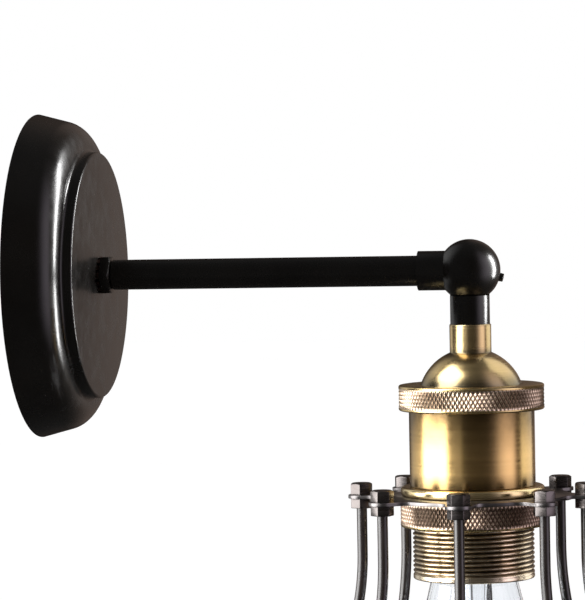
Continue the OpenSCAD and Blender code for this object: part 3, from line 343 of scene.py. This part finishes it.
def rounded(corners, steps):
    """A closed outline with its corners rounded. Each corner is (x, y, radius)."""
    most_of_side = 0.49
    out = []
    for i, (x, y, radius) in enumerate(corners):
        if radius == 0:
            out.append((x, y))
            continue
        here = Vector((x, y))
        before = Vector(corners[i - 1][:2]) - here
        after = Vector(corners[(i + 1) % len(corners)][:2]) - here
        half = before.angle(after) / 2
        reach = min(radius / math.tan(half), before.length * most_of_side, after.length * most_of_side)
        radius = reach * math.tan(half)
        inward = (before.normalized() + after.normalized()).normalized()
        middle = here + inward * (radius / math.sin(half))
        start = here + before.normalized() * reach - middle
        turn = start.angle_signed(here + after.normalized() * reach - middle)
        for step in range(steps + 1):
            angle = -turn * step / steps
            out.append((middle.x + start.x * math.cos(angle) - start.y * math.sin(angle),
                        middle.y + start.x * math.sin(angle) + start.y * math.cos(angle)))
    return out


def arc(middle_x, middle_y, radius, first, last, steps):
    """Points of an arc, angles in degrees."""
    out = []
    for step in range(steps + 1):
        angle = math.radians(first + (last - first) * step / steps)
        out.append((middle_x + radius * math.cos(angle), middle_y + radius * math.sin(angle)))
    return out


def wrapped_faces(columns, rows):
    """Faces between the columns of a closed outline that goes round an axis."""
    faces = []
    for column in range(columns):
        beside = (column + 1) % columns
        for row in range(rows):
            below = (row + 1) % rows
            faces.append((column * rows + row, beside * rows + row,
                          beside * rows + below, column * rows + below))
    return faces


def round_head(radius, angle, level):
    """A place at an angle round the head's axis."""
    return (ARM + radius * math.cos(angle), radius * math.sin(angle), level)


def round_arm(radius, angle, distance):
    """A place at an angle round the arm's axis and a distance from the wall."""
    return (distance, radius * math.cos(angle), radius * math.sin(angle))


def turned_piece(name, node, outline, place=round_head, columns=224, material=None, sharp=SHARP):
    """A closed outline of (radius, level) turned round an axis."""
    points = []
    for column in range(columns):
        angle = 2 * math.pi * column / columns
        points += [place(radius, angle, level) for radius, level in outline]
    mesh = mesh_of(name, points, wrapped_faces(columns, len(outline)))
    return add_mesh(name, mesh, node, material or LOOKS[SLOT_OF[node]], sharp)


def soft_copy(node, width, material=None, sharp=SHARP):
    """A copy of a CAD node with its edges rounded over a width in millimetres."""
    same_place = 1e-6
    same_plane = math.radians(0.4)
    least_turn = math.radians(28)
    bm = bmesh.new()
    bm.from_mesh(frame["nodes"][node].data)
    bmesh.ops.remove_doubles(bm, verts=bm.verts, dist=same_place)
    bmesh.ops.dissolve_limit(bm, angle_limit=same_plane, verts=bm.verts, edges=bm.edges)
    if width:
        edges = [edge for edge in bm.edges if edge.is_manifold and edge.calc_face_angle(0) > least_turn]
        bmesh.ops.bevel(bm, geom=edges, offset=width * MM, offset_type="OFFSET", segments=2, profile=0.5,
                        affect="EDGES", clamp_overlap=True, harden_normals=False)
    mesh = bpy.data.meshes.new(node + "_soft")
    bm.to_mesh(mesh)
    bm.free()
    return add_mesh(node + "_soft", mesh, node, material or LOOKS[SLOT_OF[node]], sharp)


def smooth(made):
    """Subdivides a piece once into a smooth surface."""
    modifier = made.modifiers.new("smooth", "SUBSURF")
    modifier.levels = 1
    modifier.render_levels = 1
    graph = bpy.context.evaluated_depsgraph_get()
    mesh = bpy.data.meshes.new_from_object(made.evaluated_get(graph))
    made.modifiers.clear()
    made.data = mesh


# ---------------------------------------------------------------- canopy

CANOPY_R = 54.0
CANOPY_DEPTH = 20.2
CANOPY_WALL = 1.2


def canopy_line(inset):
    """Half of the canopy's outline as (radius, distance from the wall), drawn in by an inset."""
    disc_r = 41.0
    disc_edge_r = 0.8
    groove_r = 1.5
    shoulder_h = 16.4
    shoulder_r = 9.0
    rim_lean = 15.0
    lean = math.radians(rim_lean)
    middle_h = shoulder_h - shoulder_r
    rim_end = middle_h + shoulder_r * math.sin(lean)
    middle_r = CANOPY_R - rim_end * math.tan(lean) - shoulder_r * math.cos(lean)
    points = [(CANOPY_R - inset / math.cos(lean), 0.0)]
    points += arc(middle_r, middle_h, shoulder_r - inset, rim_lean, 90, steps=24)
    points += [(disc_r + groove_r, shoulder_h - inset)]
    points += arc(disc_r + groove_r, shoulder_h + groove_r, groove_r + inset, 270, 180, steps=12)
    if inset < disc_edge_r:
        points += arc(disc_r - disc_edge_r, CANOPY_DEPTH - disc_edge_r, disc_edge_r - inset, 0, 90, steps=8)
    else:
        points += [(disc_r - inset, CANOPY_DEPTH - inset)]
    return points


def canopy_outline():
    """Closed outline of the canopy's wall, with its centre hole."""
    hole_r = 4.15
    chamfer = 0.15
    hole = [(hole_r + chamfer, CANOPY_DEPTH), (hole_r, CANOPY_DEPTH - chamfer)]
    hole += [(hole_r, CANOPY_DEPTH - CANOPY_WALL)]
    return canopy_line(0.0) + hole + canopy_line(CANOPY_WALL)[::-1]


turned_piece("canopy_shell", "canopy", canopy_outline(), round_arm, columns=320)


# ---------------------------------------------------------------- arm


def arm_outline():
    """Closed outline of the arm tube as (radius, distance from the wall)."""
    tube_r = 5.0
    bore_r = 3.7
    thread_r = 4.05
    thread_end = 36.6
    start = 24.1
    end = 132.8
    edge_r = 0.9
    chamfer = 0.15
    points = [(tube_r, end), (tube_r, start + edge_r)]
    points += arc(tube_r - edge_r, start + edge_r, edge_r, 0, -90, steps=8)[1:]
    points += [(thread_r + chamfer, start), (thread_r, start + chamfer)]
    points += [(thread_r, thread_end), (bore_r, thread_end), (bore_r, end)]
    return points


turned_piece("arm_tube_smooth", "arm_tube", arm_outline(), round_arm, columns=128)


# ---------------------------------------------------------------- knurled rings

RING_R = 23.9
CAP_RING_BORE_R = 16.75
CAP_RING_SEAT_R = 20.65
CAP_RING_TOP_WALL = 1.4
SHADE_RING_BORE_R = 20.0
KNURLS = 104
COLUMNS_TO_KNURL = 8
KNURL_PITCH = 2.5
KNURL_DEPTH = 0.42
KNURL_INSET = 0.02
KNURL_GAP = 0.05  # height between a lip and the knurl
KNURL_ROUNDING = 0.8
SEAM_PAST_LIP = 0.03
LIP_STEP = 0.12
LIP_EDGE = ((0.9, 0.0), (0.35, 0.08), (0.08, 0.32), (0.0, 0.6))  # distances in from the side and the end


def wave(x):
    """A triangle wave between 0 and 1 with period 1."""
    share = x - math.floor(x)
    return 1 - abs(2 * share - 1)


def relief_piece(name, node, rows, columns, depth, relief, material):
    """A turned piece whose rows are (radius, level, share): relief cuts up to depth into it by share."""
    sharp = 40
    points = []
    heights = []
    for column in range(columns):
        angle = 2 * math.pi * column / columns
        for radius, level, share in rows:
            height = 1 - share * (1 - relief(angle, level))
            points.append(round_head(radius - depth * (1 - height), angle, level))
            heights.append(height)
    mesh = mesh_of(name, points, wrapped_faces(columns, len(rows)), joined=False)
    layer = mesh.attributes.new("relief", "FLOAT", "POINT")
    layer.data.foreach_set("value", heights)
    return add_mesh(name, mesh, node, material, sharp)


def plain(outline):
    """Rows of an outline that no relief cuts into."""
    return [(radius, level, 0) for radius, level in outline]


def lip_outline(end, up, lip):
    """Outline of a lip from the ring's end to the knurl. up is 1 at the ring's top and -1 at its foot."""
    outline = [(RING_R - inset, end - up * drop) for inset, drop in LIP_EDGE]
    outline += [(RING_R, end - up * (lip - LIP_STEP)), (RING_R - LIP_STEP, end - up * lip)]
    return outline


def knurled_rows(low, high, lip, steps, inside):
    """Rows of a ring from the top of its inside round its outside. inside goes from its foot up."""
    least_share = 0.25
    run_in = 6
    top = high - lip - KNURL_GAP
    bottom = low + lip + KNURL_GAP
    knurl = []
    for step in range(steps + 1):
        share = min(1.0, run_in * min(step, steps - step) / steps + least_share)
        knurl.append((RING_R - KNURL_INSET, top + (bottom - top) * step / steps, share))
    above = [(inside[-1][0], high)] + lip_outline(high, 1, lip)
    below = lip_outline(low, -1, lip)[::-1] + inside
    return plain(above) + knurl + plain(below)


def knurl_height(angle, height):
    """Height of the diamond knurl at an angle and a height above the ring's foot."""
    across = KNURLS * angle / (2 * math.pi)
    up = height / KNURL_PITCH
    return min(wave(across + up), wave(across - up)) ** KNURL_ROUNDING


def knurled_ring(name, node, low, high, lip, steps, inside, material):
    """A ring with a diamond knurl between smooth bright lips."""
    def relief(angle, level):
        return knurl_height(angle, level - low)

    rows = knurled_rows(low, high, lip, steps, inside)
    ring = relief_piece(name, node, rows, COLUMNS_TO_KNURL * KNURLS, KNURL_DEPTH, relief, material)
    seam = lip + SEAM_PAST_LIP
    ring.data.materials.append(LOOKS["lip_brass"])
    for face in ring.data.polygons:
        level = face.center.z / MM
        if level > high - seam or level < low + seam:
            face.material_index = 1


CAP_RING_INSIDE = [(CAP_RING_SEAT_R, RING_END), (CAP_RING_SEAT_R, RING_TOP - CAP_RING_TOP_WALL),
                   (CAP_RING_BORE_R, RING_TOP - CAP_RING_TOP_WALL)]
SHADE_RING_INSIDE = [(SHADE_RING_BORE_R, SHADE_END)]
knurled_ring("cap_ring_knurled", "cap_ring", RING_END, RING_TOP, lip=0.95, steps=64,
             inside=CAP_RING_INSIDE, material=LOOKS["knurled_brass"])
knurled_ring("shade_ring_knurled", "shade_ring", SHADE_END, SHADE_TOP, lip=0.75, steps=72,
             inside=SHADE_RING_INSIDE, material=LOOKS["shaded_knurl"])


# ---------------------------------------------------------------- barrel and seat ring

BARREL_R = 20.6
BARREL_BORE_R = 18.8
THREAD_R = 19.95
THREAD_PITCH = 1.5
THREAD_DEPTH = 0.65
BARREL_COLUMNS = 224
BRIGHT_END = THREAD_TOP - 0.1
SEAT_RING_R = 23.6
SEAT_RING_BORE_R = 20.0


def thread_height(angle, level):
    """Height of the holder's right-hand thread at an angle and a level."""
    crest_end = 0.18
    root_start = 0.5
    root_end = 0.64
    place = (level - THREAD_TOP) / THREAD_PITCH - angle / (2 * math.pi)
    place -= math.floor(place)
    if place < crest_end:
        return 1.0
    if place < root_start:
        return 1 - (place - crest_end) / (root_start - crest_end)
    if place < root_end:
        return 0.0
    return (place - root_end) / (1 - root_end)


def threaded_rows():
    """Rows of the barrel's thread, which runs in at its top and out at the mouth."""
    steps = 160
    run_in = 0.06
    run_out = 0.10
    under_seat = 0.5
    above_mouth = 0.9
    start = THREAD_TOP - under_seat
    end = MOUTH + above_mouth
    rows = []
    for step in range(steps + 1):
        share = min(1.0, run_in * step, run_out * (steps - step))
        rows.append((THREAD_R, start + (end - start) * step / steps, share))
    return rows


def barrel_rows():
    """Rows of the barrel from its top round the outside and the mouth to the bore."""
    mouth_r = 17.2
    mouth_wall = 1.0
    mouth_edge = ((0.0, 0.35), (0.2, 0.08), (0.45, 0.0))  # distances in from the thread and up from the mouth
    mouth_edge_h = 0.25
    edge = 0.3
    foot_edge = 0.2
    foot_h = 0.05
    ring_wall = 2.5
    steps = 6
    top = RING_TOP - ring_wall
    side_top = top - edge
    side_h = side_top - THREAD_TOP - foot_edge
    upper = [(BARREL_BORE_R, top), (BARREL_R - edge, top), (BARREL_R, side_top)]
    upper += [(BARREL_R, side_top - side_h * step / steps) for step in range(1, steps + 1)]
    upper += [(BARREL_R - foot_edge, THREAD_TOP), (THREAD_R, THREAD_TOP - foot_h)]
    lower = [(THREAD_R - inset, MOUTH + rise) for inset, rise in mouth_edge]
    lower += [(mouth_r + edge, MOUTH), (mouth_r, MOUTH + mouth_edge_h), (mouth_r, MOUTH + mouth_wall)]
    lower += [(BARREL_BORE_R, MOUTH + mouth_wall)]
    return plain(upper) + threaded_rows() + plain(lower)


def make_barrel():
    """The barrel: bright above the thread, with painted shade dark in its grooves and a painted highlight on
    its crests.
    """
    barrel = relief_piece("barrel_threaded", "barrel", barrel_rows(), BARREL_COLUMNS, THREAD_DEPTH,
                          thread_height, LOOKS["thread_brass"])
    barrel.data.materials.append(LOOKS["antique_brass"])
    for face in barrel.data.polygons:
        if face.center.z > BRIGHT_END * MM:
            face.material_index = 1


def seat_ring_outline():
    """Outline of the seat ring with a rounded outside."""
    inner_edge = 0.2
    outer_edge = 1.1
    corners = [(SEAT_RING_BORE_R, PLATE_TOP, inner_edge), (SEAT_RING_R, PLATE_TOP, outer_edge),
               (SEAT_RING_R, THREAD_TOP, outer_edge), (SEAT_RING_BORE_R, THREAD_TOP, inner_edge)]
    return rounded(corners, steps=10)


make_barrel()
turned_piece("seat_ring_round", "seat_ring", seat_ring_outline(), material=LOOKS["seat_brass"])


# ---------------------------------------------------------------- lamp holder's cap


def dome_outline():
    """Closed outline of the neck, the dome and the flange under the cap ring."""
    bore_r = 5.05
    neck_r = 6.85
    neck_edge_r = 0.4
    fillet_r = 0.22
    fillet_h = 0.12
    fillet_turn = 0.6
    dome_r = 16.6
    dome_h = 10.4
    wall = 1.2
    flange_r = 20.0
    flange_end = RING_TOP - 2.45
    flange_top = flange_end + 1.0
    roof = NECK_END - 1.5
    middle = NECK_END - (dome_r ** 2 + dome_h ** 2 - neck_r ** 2) / (2 * dome_h)
    sphere_r = math.hypot(neck_r, NECK_END - middle)
    first = math.degrees(math.atan2(NECK_END - middle, neck_r))
    last = math.degrees(math.atan2(RING_TOP - middle, dome_r))
    points = [(bore_r, NECK_TOP), (neck_r - neck_edge_r, NECK_TOP)]
    points += arc(neck_r - neck_edge_r, NECK_TOP - neck_edge_r, neck_edge_r, 90, 0, steps=5)[1:]
    points += [(neck_r, NECK_END + fillet_r)]
    points += arc(neck_r + fillet_r, NECK_END + fillet_h, fillet_r, 180, 255, steps=4)
    points += arc(0, middle, sphere_r, first - fillet_turn, last, steps=40)
    points += [(dome_r, flange_top), (flange_r, flange_top), (flange_r, flange_end)]
    points += [(dome_r - wall, flange_end), (dome_r - wall, RING_TOP)]
    inner_r = sphere_r - wall
    start = math.degrees(math.acos((dome_r - wall) / inner_r))
    end = math.degrees(math.asin((roof - middle) / inner_r))
    points += arc(0, middle, inner_r, start, end, steps=20)
    points += [(bore_r, roof)]
    return points


turned_piece("holder_cap_spun", "holder_cap", dome_outline(), material=LOOKS["dome_brass"])


# ---------------------------------------------------------------- cage bars

BARS = 8
BAR_R = 1.71  # a little under the CAD bars' 1.75, which keeps these smooth ones inside their box


def bar_line():
    """Middle line of a cage bar as (radius, level)."""
    circle_r = 37.0
    straight_h = 18.0
    flare_r = 90.0
    flare = 35.0
    belly_r = 60.0
    foot_bend_r = 15.0
    foot_r = 38.0
    foot_straight_h = 1
    nut_h = 3.2
    ring_t = 1.2
    past_plate = 2.8
    past_ring = 2.8
    under_plate = 4
    near_flare = 3
    near_bend = 1.5
    flare_top = PLATE_END - straight_h
    flare_cos = math.cos(math.radians(flare))
    flare_sin = math.sin(math.radians(flare))
    belly_x = circle_r + flare_r * (1 - flare_cos) - belly_r * flare_cos
    belly_z = flare_top - flare_r * flare_sin - belly_r * flare_sin
    foot = math.degrees(math.acos((foot_r + foot_bend_r - belly_x) / (belly_r + foot_bend_r)))
    bend_z = belly_z - (belly_r + foot_bend_r) * math.sin(math.radians(foot))
    ring_end = bend_z - nut_h - foot_straight_h - ring_t
    points = [(circle_r, PLATE_TOP + past_plate), (circle_r, PLATE_TOP - under_plate)]
    points += [(circle_r, flare_top + near_flare)]
    points += arc(circle_r + flare_r, flare_top, flare_r, 180, 180 + flare, steps=30)
    points += arc(belly_x, belly_z, belly_r, flare, -foot, steps=60)[1:]
    points += arc(foot_r + foot_bend_r, bend_z, foot_bend_r, 180 - foot, 180, steps=18)[1:]
    points += [(foot_r, bend_z - near_bend), (foot_r, ring_end - past_ring)]
    return points


def swept_bar(angle):
    """Points and faces of a round cage bar at an angle round the head's axis."""
    sides = 28
    line = [Vector(point) for point in bar_line()]
    last = len(line) - 1
    points = []
    for i, here in enumerate(line):
        along = (line[min(i + 1, last)] - line[max(i - 1, 0)]).normalized()
        out = Vector((-along.y, along.x))
        for k in range(sides):
            turn = 2 * math.pi * k / sides
            radius = here.x + BAR_R * math.cos(turn) * out.x
            aside = BAR_R * math.sin(turn)
            level = here.y + BAR_R * math.cos(turn) * out.y
            points.append((ARM + radius * math.cos(angle) - aside * math.sin(angle),
                           radius * math.sin(angle) + aside * math.cos(angle), level))
    faces = []
    for i in range(last):
        for k in range(sides):
            beside = (k + 1) % sides
            faces.append((i * sides + k, i * sides + beside, (i + 1) * sides + beside, (i + 1) * sides + k))
    faces.append(tuple(range(sides)))
    faces.append(tuple(last * sides + k for k in range(sides)))
    return points, faces


for number in range(BARS):
    bar_node = f"cage_bar_{number + 1}"
    bar_name = bar_node + "_smooth"
    bar_mesh = mesh_of(bar_name, *swept_bar(2 * math.pi * number / BARS))
    add_mesh(bar_name, bar_mesh, bar_node, LOOKS["dark_bronze_bar"], sharp=50)


# ---------------------------------------------------------------- bulb

BULB_WALL = 0.8


def bulb_line(inset):
    """Half of the glass, from the globe's end up to the opening for the stem, drawn in by an inset."""
    globe_r = 32.0
    globe_middle = MOUTH - 77.0
    neck_r = 14.0
    neck_bend_r = 3.0
    cap_thread_d = 26.4
    cap_room = 1.6
    cap_r = cap_thread_d / 2 - cap_room
    cap_bend_r = 1.0
    cap_end = MOUTH + 2.4
    rim_h = 6
    rim = cap_end + rim_h - inset
    rim_bend_r = 0.6
    stem_r = 4.95
    height = MOUTH - globe_middle
    lean = math.atan2(neck_r, height) + math.acos(globe_r / math.hypot(neck_r, height))
    out = [(0.0, globe_middle - globe_r + inset)]
    out += arc(0, globe_middle, globe_r - inset, -89, 90 - math.degrees(lean), steps=72)
    start = Vector(out[-1])
    neck = Vector((neck_r - inset, MOUTH))
    steps = 12
    out += [tuple(start.lerp(neck, step / steps)) for step in range(1, steps)]
    corners = [(start.x, start.y, 0), (neck.x, neck.y, neck_bend_r), (cap_r - inset, cap_end, cap_bend_r),
               (cap_r - inset, rim, rim_bend_r), (stem_r, rim, 0)]
    return out + rounded(corners, steps=6)[1:]


turned_piece("bulb_glass_blown", "bulb_glass", bulb_line(0.0) + bulb_line(BULB_WALL)[::-1],
             columns=160, sharp=60)


# ---------------------------------------------------------------- all the other pieces

# Width of the rounding on the edges of each piece.
EDGE_WIDTHS = {
    "wall_bracket": 0.25, "bracket_lock_nut": 0.15, "bracket_jam_nut": 0.15, "canopy_nut": 0.15,
    "earth_screw": 0.12, "earth_tag": 0.08, "terminal_block": 0.25, "terminal_sleeves": 0.1,
    "terminal_screws": 0.1, "block_screw": 0.1, "knuckle_arm_half": 0.15, "knuckle_stem_half": 0.15,
    "tilt_lock_screw": 0.15, "cage_plate": 0.15, "cage_cap_nuts": 0.16, "cage_lock_nuts": 0.16,
    "bottom_ring": 0.15, "bottom_cap_nuts": 0.16, "bottom_lock_nuts": 0.16, "holder_nipple": 0.1,
    "dome_nut": 0.15, "porcelain_core": 0.2, "screw_shell": 0.08, "centre_contact": 0.08,
    "earth_strip": 0.08, "core_screws": 0.1, "bulb_cap": 0.12, "bulb_insulator": 0.2,
    "bulb_tip_contact": 0.12, "wall_nipple": 0.1, "bulb_stem": 0.1,
}
SMOOTHED = (
    "live_lead", "neutral_lead", "earth_lead", "holder_live_lead", "holder_neutral_lead", "holder_earth_lead",
    "bulb_filament",
)
PIVOT_ROOM = 0.1


def draw_in(made, amount):
    """Draws a piece in toward the pivot's axis, so that its flats pass those of the bore that turns on it."""
    for point in made.data.vertices:
        outward = Vector((point.co.x - ARM * MM, 0, point.co.z)).normalized()
        point.co -= amount * MM * outward


for node, width in EDGE_WIDTHS.items():
    soft_copy(node, width)
soft_copy("star_washer", 0.08, LOOKS["aged_copper"])
draw_in(soft_copy("pivot_screw", 0.2), PIVOT_ROOM)
for node in SMOOTHED:
    smooth(soft_copy(node, 0, sharp=70))
soft_copy("bulb_wires", 0, sharp=50)


# ---------------------------------------------------------------- floor

FLOOR_LEVEL = -0.32
FLOOR_REACH = 6
FLOOR_GLOW = 0.3  # with the lamp above it, this brings the floor to white outside the shadow


def make_floor():
    """A large pale floor that keeps the shadow. Mirror reflections look past it at the studio."""
    corners = [(x * FLOOR_REACH, y * FLOOR_REACH, FLOOR_LEVEL)
               for x, y in ((-1, -1), (1, -1), (1, 1), (-1, 1))]
    mesh = bpy.data.meshes.new("floor")
    mesh.from_pydata(corners, [], [(0, 1, 2, 3)])
    floor = bpy.data.objects.new("floor", mesh)
    bpy.context.collection.objects.link(floor)
    look = Look("pale_floor", Roughness=0.9, Emission_Color=(1, 1, 1, 1))
    pale = look.ramp(look.noise(scale=9, detail=3), (0.3, (0.80, 0.80, 0.80)), (0.7, (0.84, 0.84, 0.84)))
    look.set("Base Color", pale)
    path = look.node("LightPath").outputs
    seen = look.maths("MAXIMUM", path["Is Camera Ray"], path["Is Transmission Ray"])
    look.set("Emission Strength", look.maths("MULTIPLY", seen, FLOOR_GLOW))
    passed = look.node("BsdfTransparent").outputs[0]
    mixed = look.node("MixShader", {0: path["Is Glossy Ray"], 1: look.shader.outputs[0], 2: passed})
    look.links.new(mixed.outputs[0], look.nodes["Material Output"].inputs["Surface"])
    mesh.materials.append(look.material)
    return floor


pale_floor = make_floor()


# ---------------------------------------------------------------- camera

VIEW_AZIMUTH = 10.23
VIEW_ELEVATION = 2.08
VIEW_ROLL = -1.05
VIEW_DISTANCE = 1.1
VIEW_TARGET = Vector((0.0850, 0.0, -0.0091))
PIXELS_PER_METRE = 3024.0  # at the target
FRAME_HEIGHT = 600.0  # pixels


def make_camera():
    """The camera at the photograph's viewing angle."""
    azimuth, elevation, roll = (math.radians(angle) for angle in (VIEW_AZIMUTH, VIEW_ELEVATION, VIEW_ROLL))
    level = math.cos(elevation)
    forward = Vector((-math.sin(azimuth) * level, math.cos(azimuth) * level, -math.sin(elevation)))
    right = Vector((math.cos(azimuth), math.sin(azimuth), 0))
    up = right.cross(forward)
    turned_right = right * math.cos(roll) + up * math.sin(roll)
    turned_up = up * math.cos(roll) - right * math.sin(roll)
    data = bpy.data.cameras.new("camera")
    data.lens = PIXELS_PER_METRE * VIEW_DISTANCE / FRAME_HEIGHT * data.sensor_width
    data.clip_start = 0.05
    data.clip_end = 50
    camera = bpy.data.objects.new("camera", data)
    bpy.context.collection.objects.link(camera)
    turn = Matrix((turned_right, turned_up, -forward)).transposed().to_4x4()
    camera.matrix_world = Matrix.Translation(VIEW_TARGET - VIEW_DISTANCE * forward) @ turn
    bpy.context.scene.camera = camera


make_camera()


# ---------------------------------------------------------------- lamps

FIXTURE = Vector((0.07, 0.0, 0.0))
HEAD = Vector((0.144, 0.0, -0.06))
BOX_DISTANCE = 1.3
SUN_AZIMUTH = -50
SUN_ELEVATION = 66
SUN_STRENGTH = 1.9
SUN_WIDTH = 24


def round_view(azimuth, elevation=0.0):
    """Direction from the light fixture: azimuth in degrees from the camera's side, positive to its right."""
    turn = math.radians(azimuth + VIEW_AZIMUTH)
    rise = math.radians(elevation)
    return Vector((math.sin(turn) * math.cos(rise), -math.cos(turn) * math.cos(rise), math.sin(rise)))


def add_lamp(name, kind, toward, lit):
    """A lamp that shines from a direction on the pieces of one collection only."""
    data = bpy.data.lights.new(name, kind)
    lamp = bpy.data.objects.new(name, data)
    bpy.context.collection.objects.link(lamp)
    lamp.rotation_mode = "QUATERNION"
    lamp.rotation_quaternion = toward.to_track_quat("Z", "Y")
    lamp.light_linking.receiver_collection = lit
    return lamp


def soft_box(name, aim, azimuth, elevation, width, height, brightness, lit):
    """A soft box so many degrees across and up."""
    toward = round_view(azimuth, elevation)
    lamp = add_lamp(name, "AREA", toward, lit)
    lamp.location = aim + BOX_DISTANCE * toward
    lamp.data.shape = "RECTANGLE"
    lamp.data.size = 2 * BOX_DISTANCE * math.tan(math.radians(width / 2))
    lamp.data.size_y = 2 * BOX_DISTANCE * math.tan(math.radians(height / 2))
    lamp.data.energy = brightness * math.pi * lamp.data.size * lamp.data.size_y


def floor_sun(lit):
    """Soft light from above for the floor alone. With the floor's own glow it leaves a shadow on white."""
    lamp = add_lamp("floor_sun", "SUN", round_view(SUN_AZIMUTH, SUN_ELEVATION), lit)
    lamp.data.energy = SUN_STRENGTH
    lamp.data.angle = math.radians(SUN_WIDTH)


def lit_group(name, pieces):
    """A collection of the pieces that a lamp lights, as a studio's black flags keep it off the others."""
    group = bpy.data.collections.new(name)
    for piece in pieces:
        group.objects.link(piece)
    return group


def lit_nodes(name, nodes):
    """A collection of the pieces that stand for some nodes."""
    return lit_group(name, [piece for node, piece in MADE if node in nodes])


painted_nodes = [node for node, slot in SLOT_OF.items() if slot == "black_paint"]
arm_nodes = [node for node in painted_nodes if node != "canopy"]
wall_nodes = [node for node, body in BODY_OF.items() if body == "wall_side" and node not in painted_nodes]
head_nodes = [node for node in BODY_OF if node not in painted_nodes + wall_nodes]
brass_nodes = [node for node, slot in SLOT_OF.items() if slot == "antique_brass"]
lit_canopy = lit_nodes("lit_canopy", ["canopy"])
lit_arm = lit_nodes("lit_arm", arm_nodes)
lit_wall_side = lit_nodes("lit_wall_side", wall_nodes)
lit_head = lit_nodes("lit_head", head_nodes)
lit_brass = lit_nodes("lit_brass", brass_nodes)

# Each soft box: what it aims at, azimuth, elevation, width and height in degrees, brightness, what it lights.
soft_box("left_box", HEAD, -77, 20, 60, 96, 6.5, lit_head)
soft_box("left_edge", HEAD, -33, 8, 22, 70, 0.36, lit_head)
soft_box("right_panel", HEAD, 117, 18, 44, 92, 1.2, lit_brass)
soft_box("canopy_strip", FIXTURE, 115, 11, 10, 56, 40.0, lit_canopy)
soft_box("knuckle_strip", FIXTURE, 101, 8, 11, 46, 52.0, lit_arm)
soft_box("back_left", FIXTURE, -140, 25, 60, 60, 1.1, lit_wall_side)
soft_box("back_right", FIXTURE, 140, 25, 40, 60, 0.8, lit_wall_side)
floor_sun(lit_group("lit_floor", [pale_floor]))


# ---------------------------------------------------------------- studio

WARM = (1.0, 0.76, 0.65)
TAN = (1.0, 0.92, 0.84)
WHITE = (1.0, 1.0, 1.0)
ORANGE = (1.0, 0.78, 0.56)
ROSE = (0.94, 0.84, 0.96)

# What glossy surfaces see round the light: degrees from the camera's side, brightness and colour cast.
SIDES = (
    (-180, 0.04, WARM), (-160, 0.06, WARM), (-146, 0.5, WHITE), (-119, 0.9, WHITE), (-108, 1.0, WHITE),
    (-92, 0.5, WHITE), (-84, 0.08, WHITE), (-30, 0.08, WHITE), (-4, 0.06, TAN), (26, 0.05, TAN),
    (36, 0.16, ROSE), (43, 0.45, ROSE), (52, 1.05, ROSE), (64, 1.5, ROSE), (77, 1.5, ROSE), (82, 0.7, ROSE),
    (86, 0.10, ORANGE), (99, 0.10, ORANGE), (108, 0.08, TAN), (148, 0.12, WARM), (158, 0.25, WARM),
    (170, 0.22, WARM), (180, 0.04, WARM))
BRIGHTEST = 1.5
OVERHEAD = 0.10
OVERHEAD_HEIGHTS = (0.55, 0.95)  # sines of the elevations between which the sides fade into it
BELOW = 0.04
BELOW_HEIGHTS = (-0.25, -0.6)
AMBIENT = 0.35
PURE_WHITE = (1, 1, 1, 1)


def studio_colour(graph):
    """Colour of the dim studio in a direction, as a share of its brightest panel."""
    direction = graph.nodes.new("ShaderNodeTexCoord").outputs["Generated"]
    right = graph.along(direction, round_view(90))
    front = graph.along(direction, round_view(0))
    turn = graph.maths("MULTIPLY", graph.maths("ARCTAN2", right, front), 0.5 / math.pi)
    around = graph.maths("ADD", turn, 0.5)
    stops = [(0.5 + degrees / 360, [value / BRIGHTEST * part for part in cast])
             for degrees, value, cast in SIDES]
    height = graph.along(direction, (0, 0, 1))
    upward = graph.ranged(height, 0.0, 1.0, *OVERHEAD_HEIGHTS)
    downward = graph.ranged(height, 0.0, 1.0, *BELOW_HEIGHTS)
    sides_and_top = graph.mix(upward, graph.ramp(around, *stops), [OVERHEAD / BRIGHTEST] * 3)
    return graph.mix(downward, sides_and_top, [BELOW / BRIGHTEST] * 3)


def make_world():
    """White to the camera and through glass, a pale ambient light, and a dim studio in mirror reflections."""
    world = bpy.data.worlds.new("studio")
    world.use_nodes = True
    world.cycles.sampling_method = "NONE"
    bpy.context.scene.world = world
    graph = Graph(world.node_tree)
    graph.nodes.clear()
    path = graph.node("LightPath").outputs
    mirrored = graph.node("Background", {"Color": studio_colour(graph), "Strength": BRIGHTEST}).outputs[0]
    ambient = graph.node("Background", {"Color": PURE_WHITE, "Strength": AMBIENT}).outputs[0]
    shown = graph.node("Background", {"Color": PURE_WHITE, "Strength": 1.0}).outputs[0]
    lit = graph.node("MixShader", {0: path["Is Glossy Ray"], 1: ambient, 2: mirrored}).outputs[0]
    seen = graph.maths("MAXIMUM", path["Is Camera Ray"], path["Is Transmission Ray"])
    surface = graph.node("MixShader", {0: seen, 1: lit, 2: shown}).outputs[0]
    graph.links.new(surface, graph.node("OutputWorld").inputs["Surface"])


make_world()
bpy.context.scene.view_settings.view_transform = "Standard"
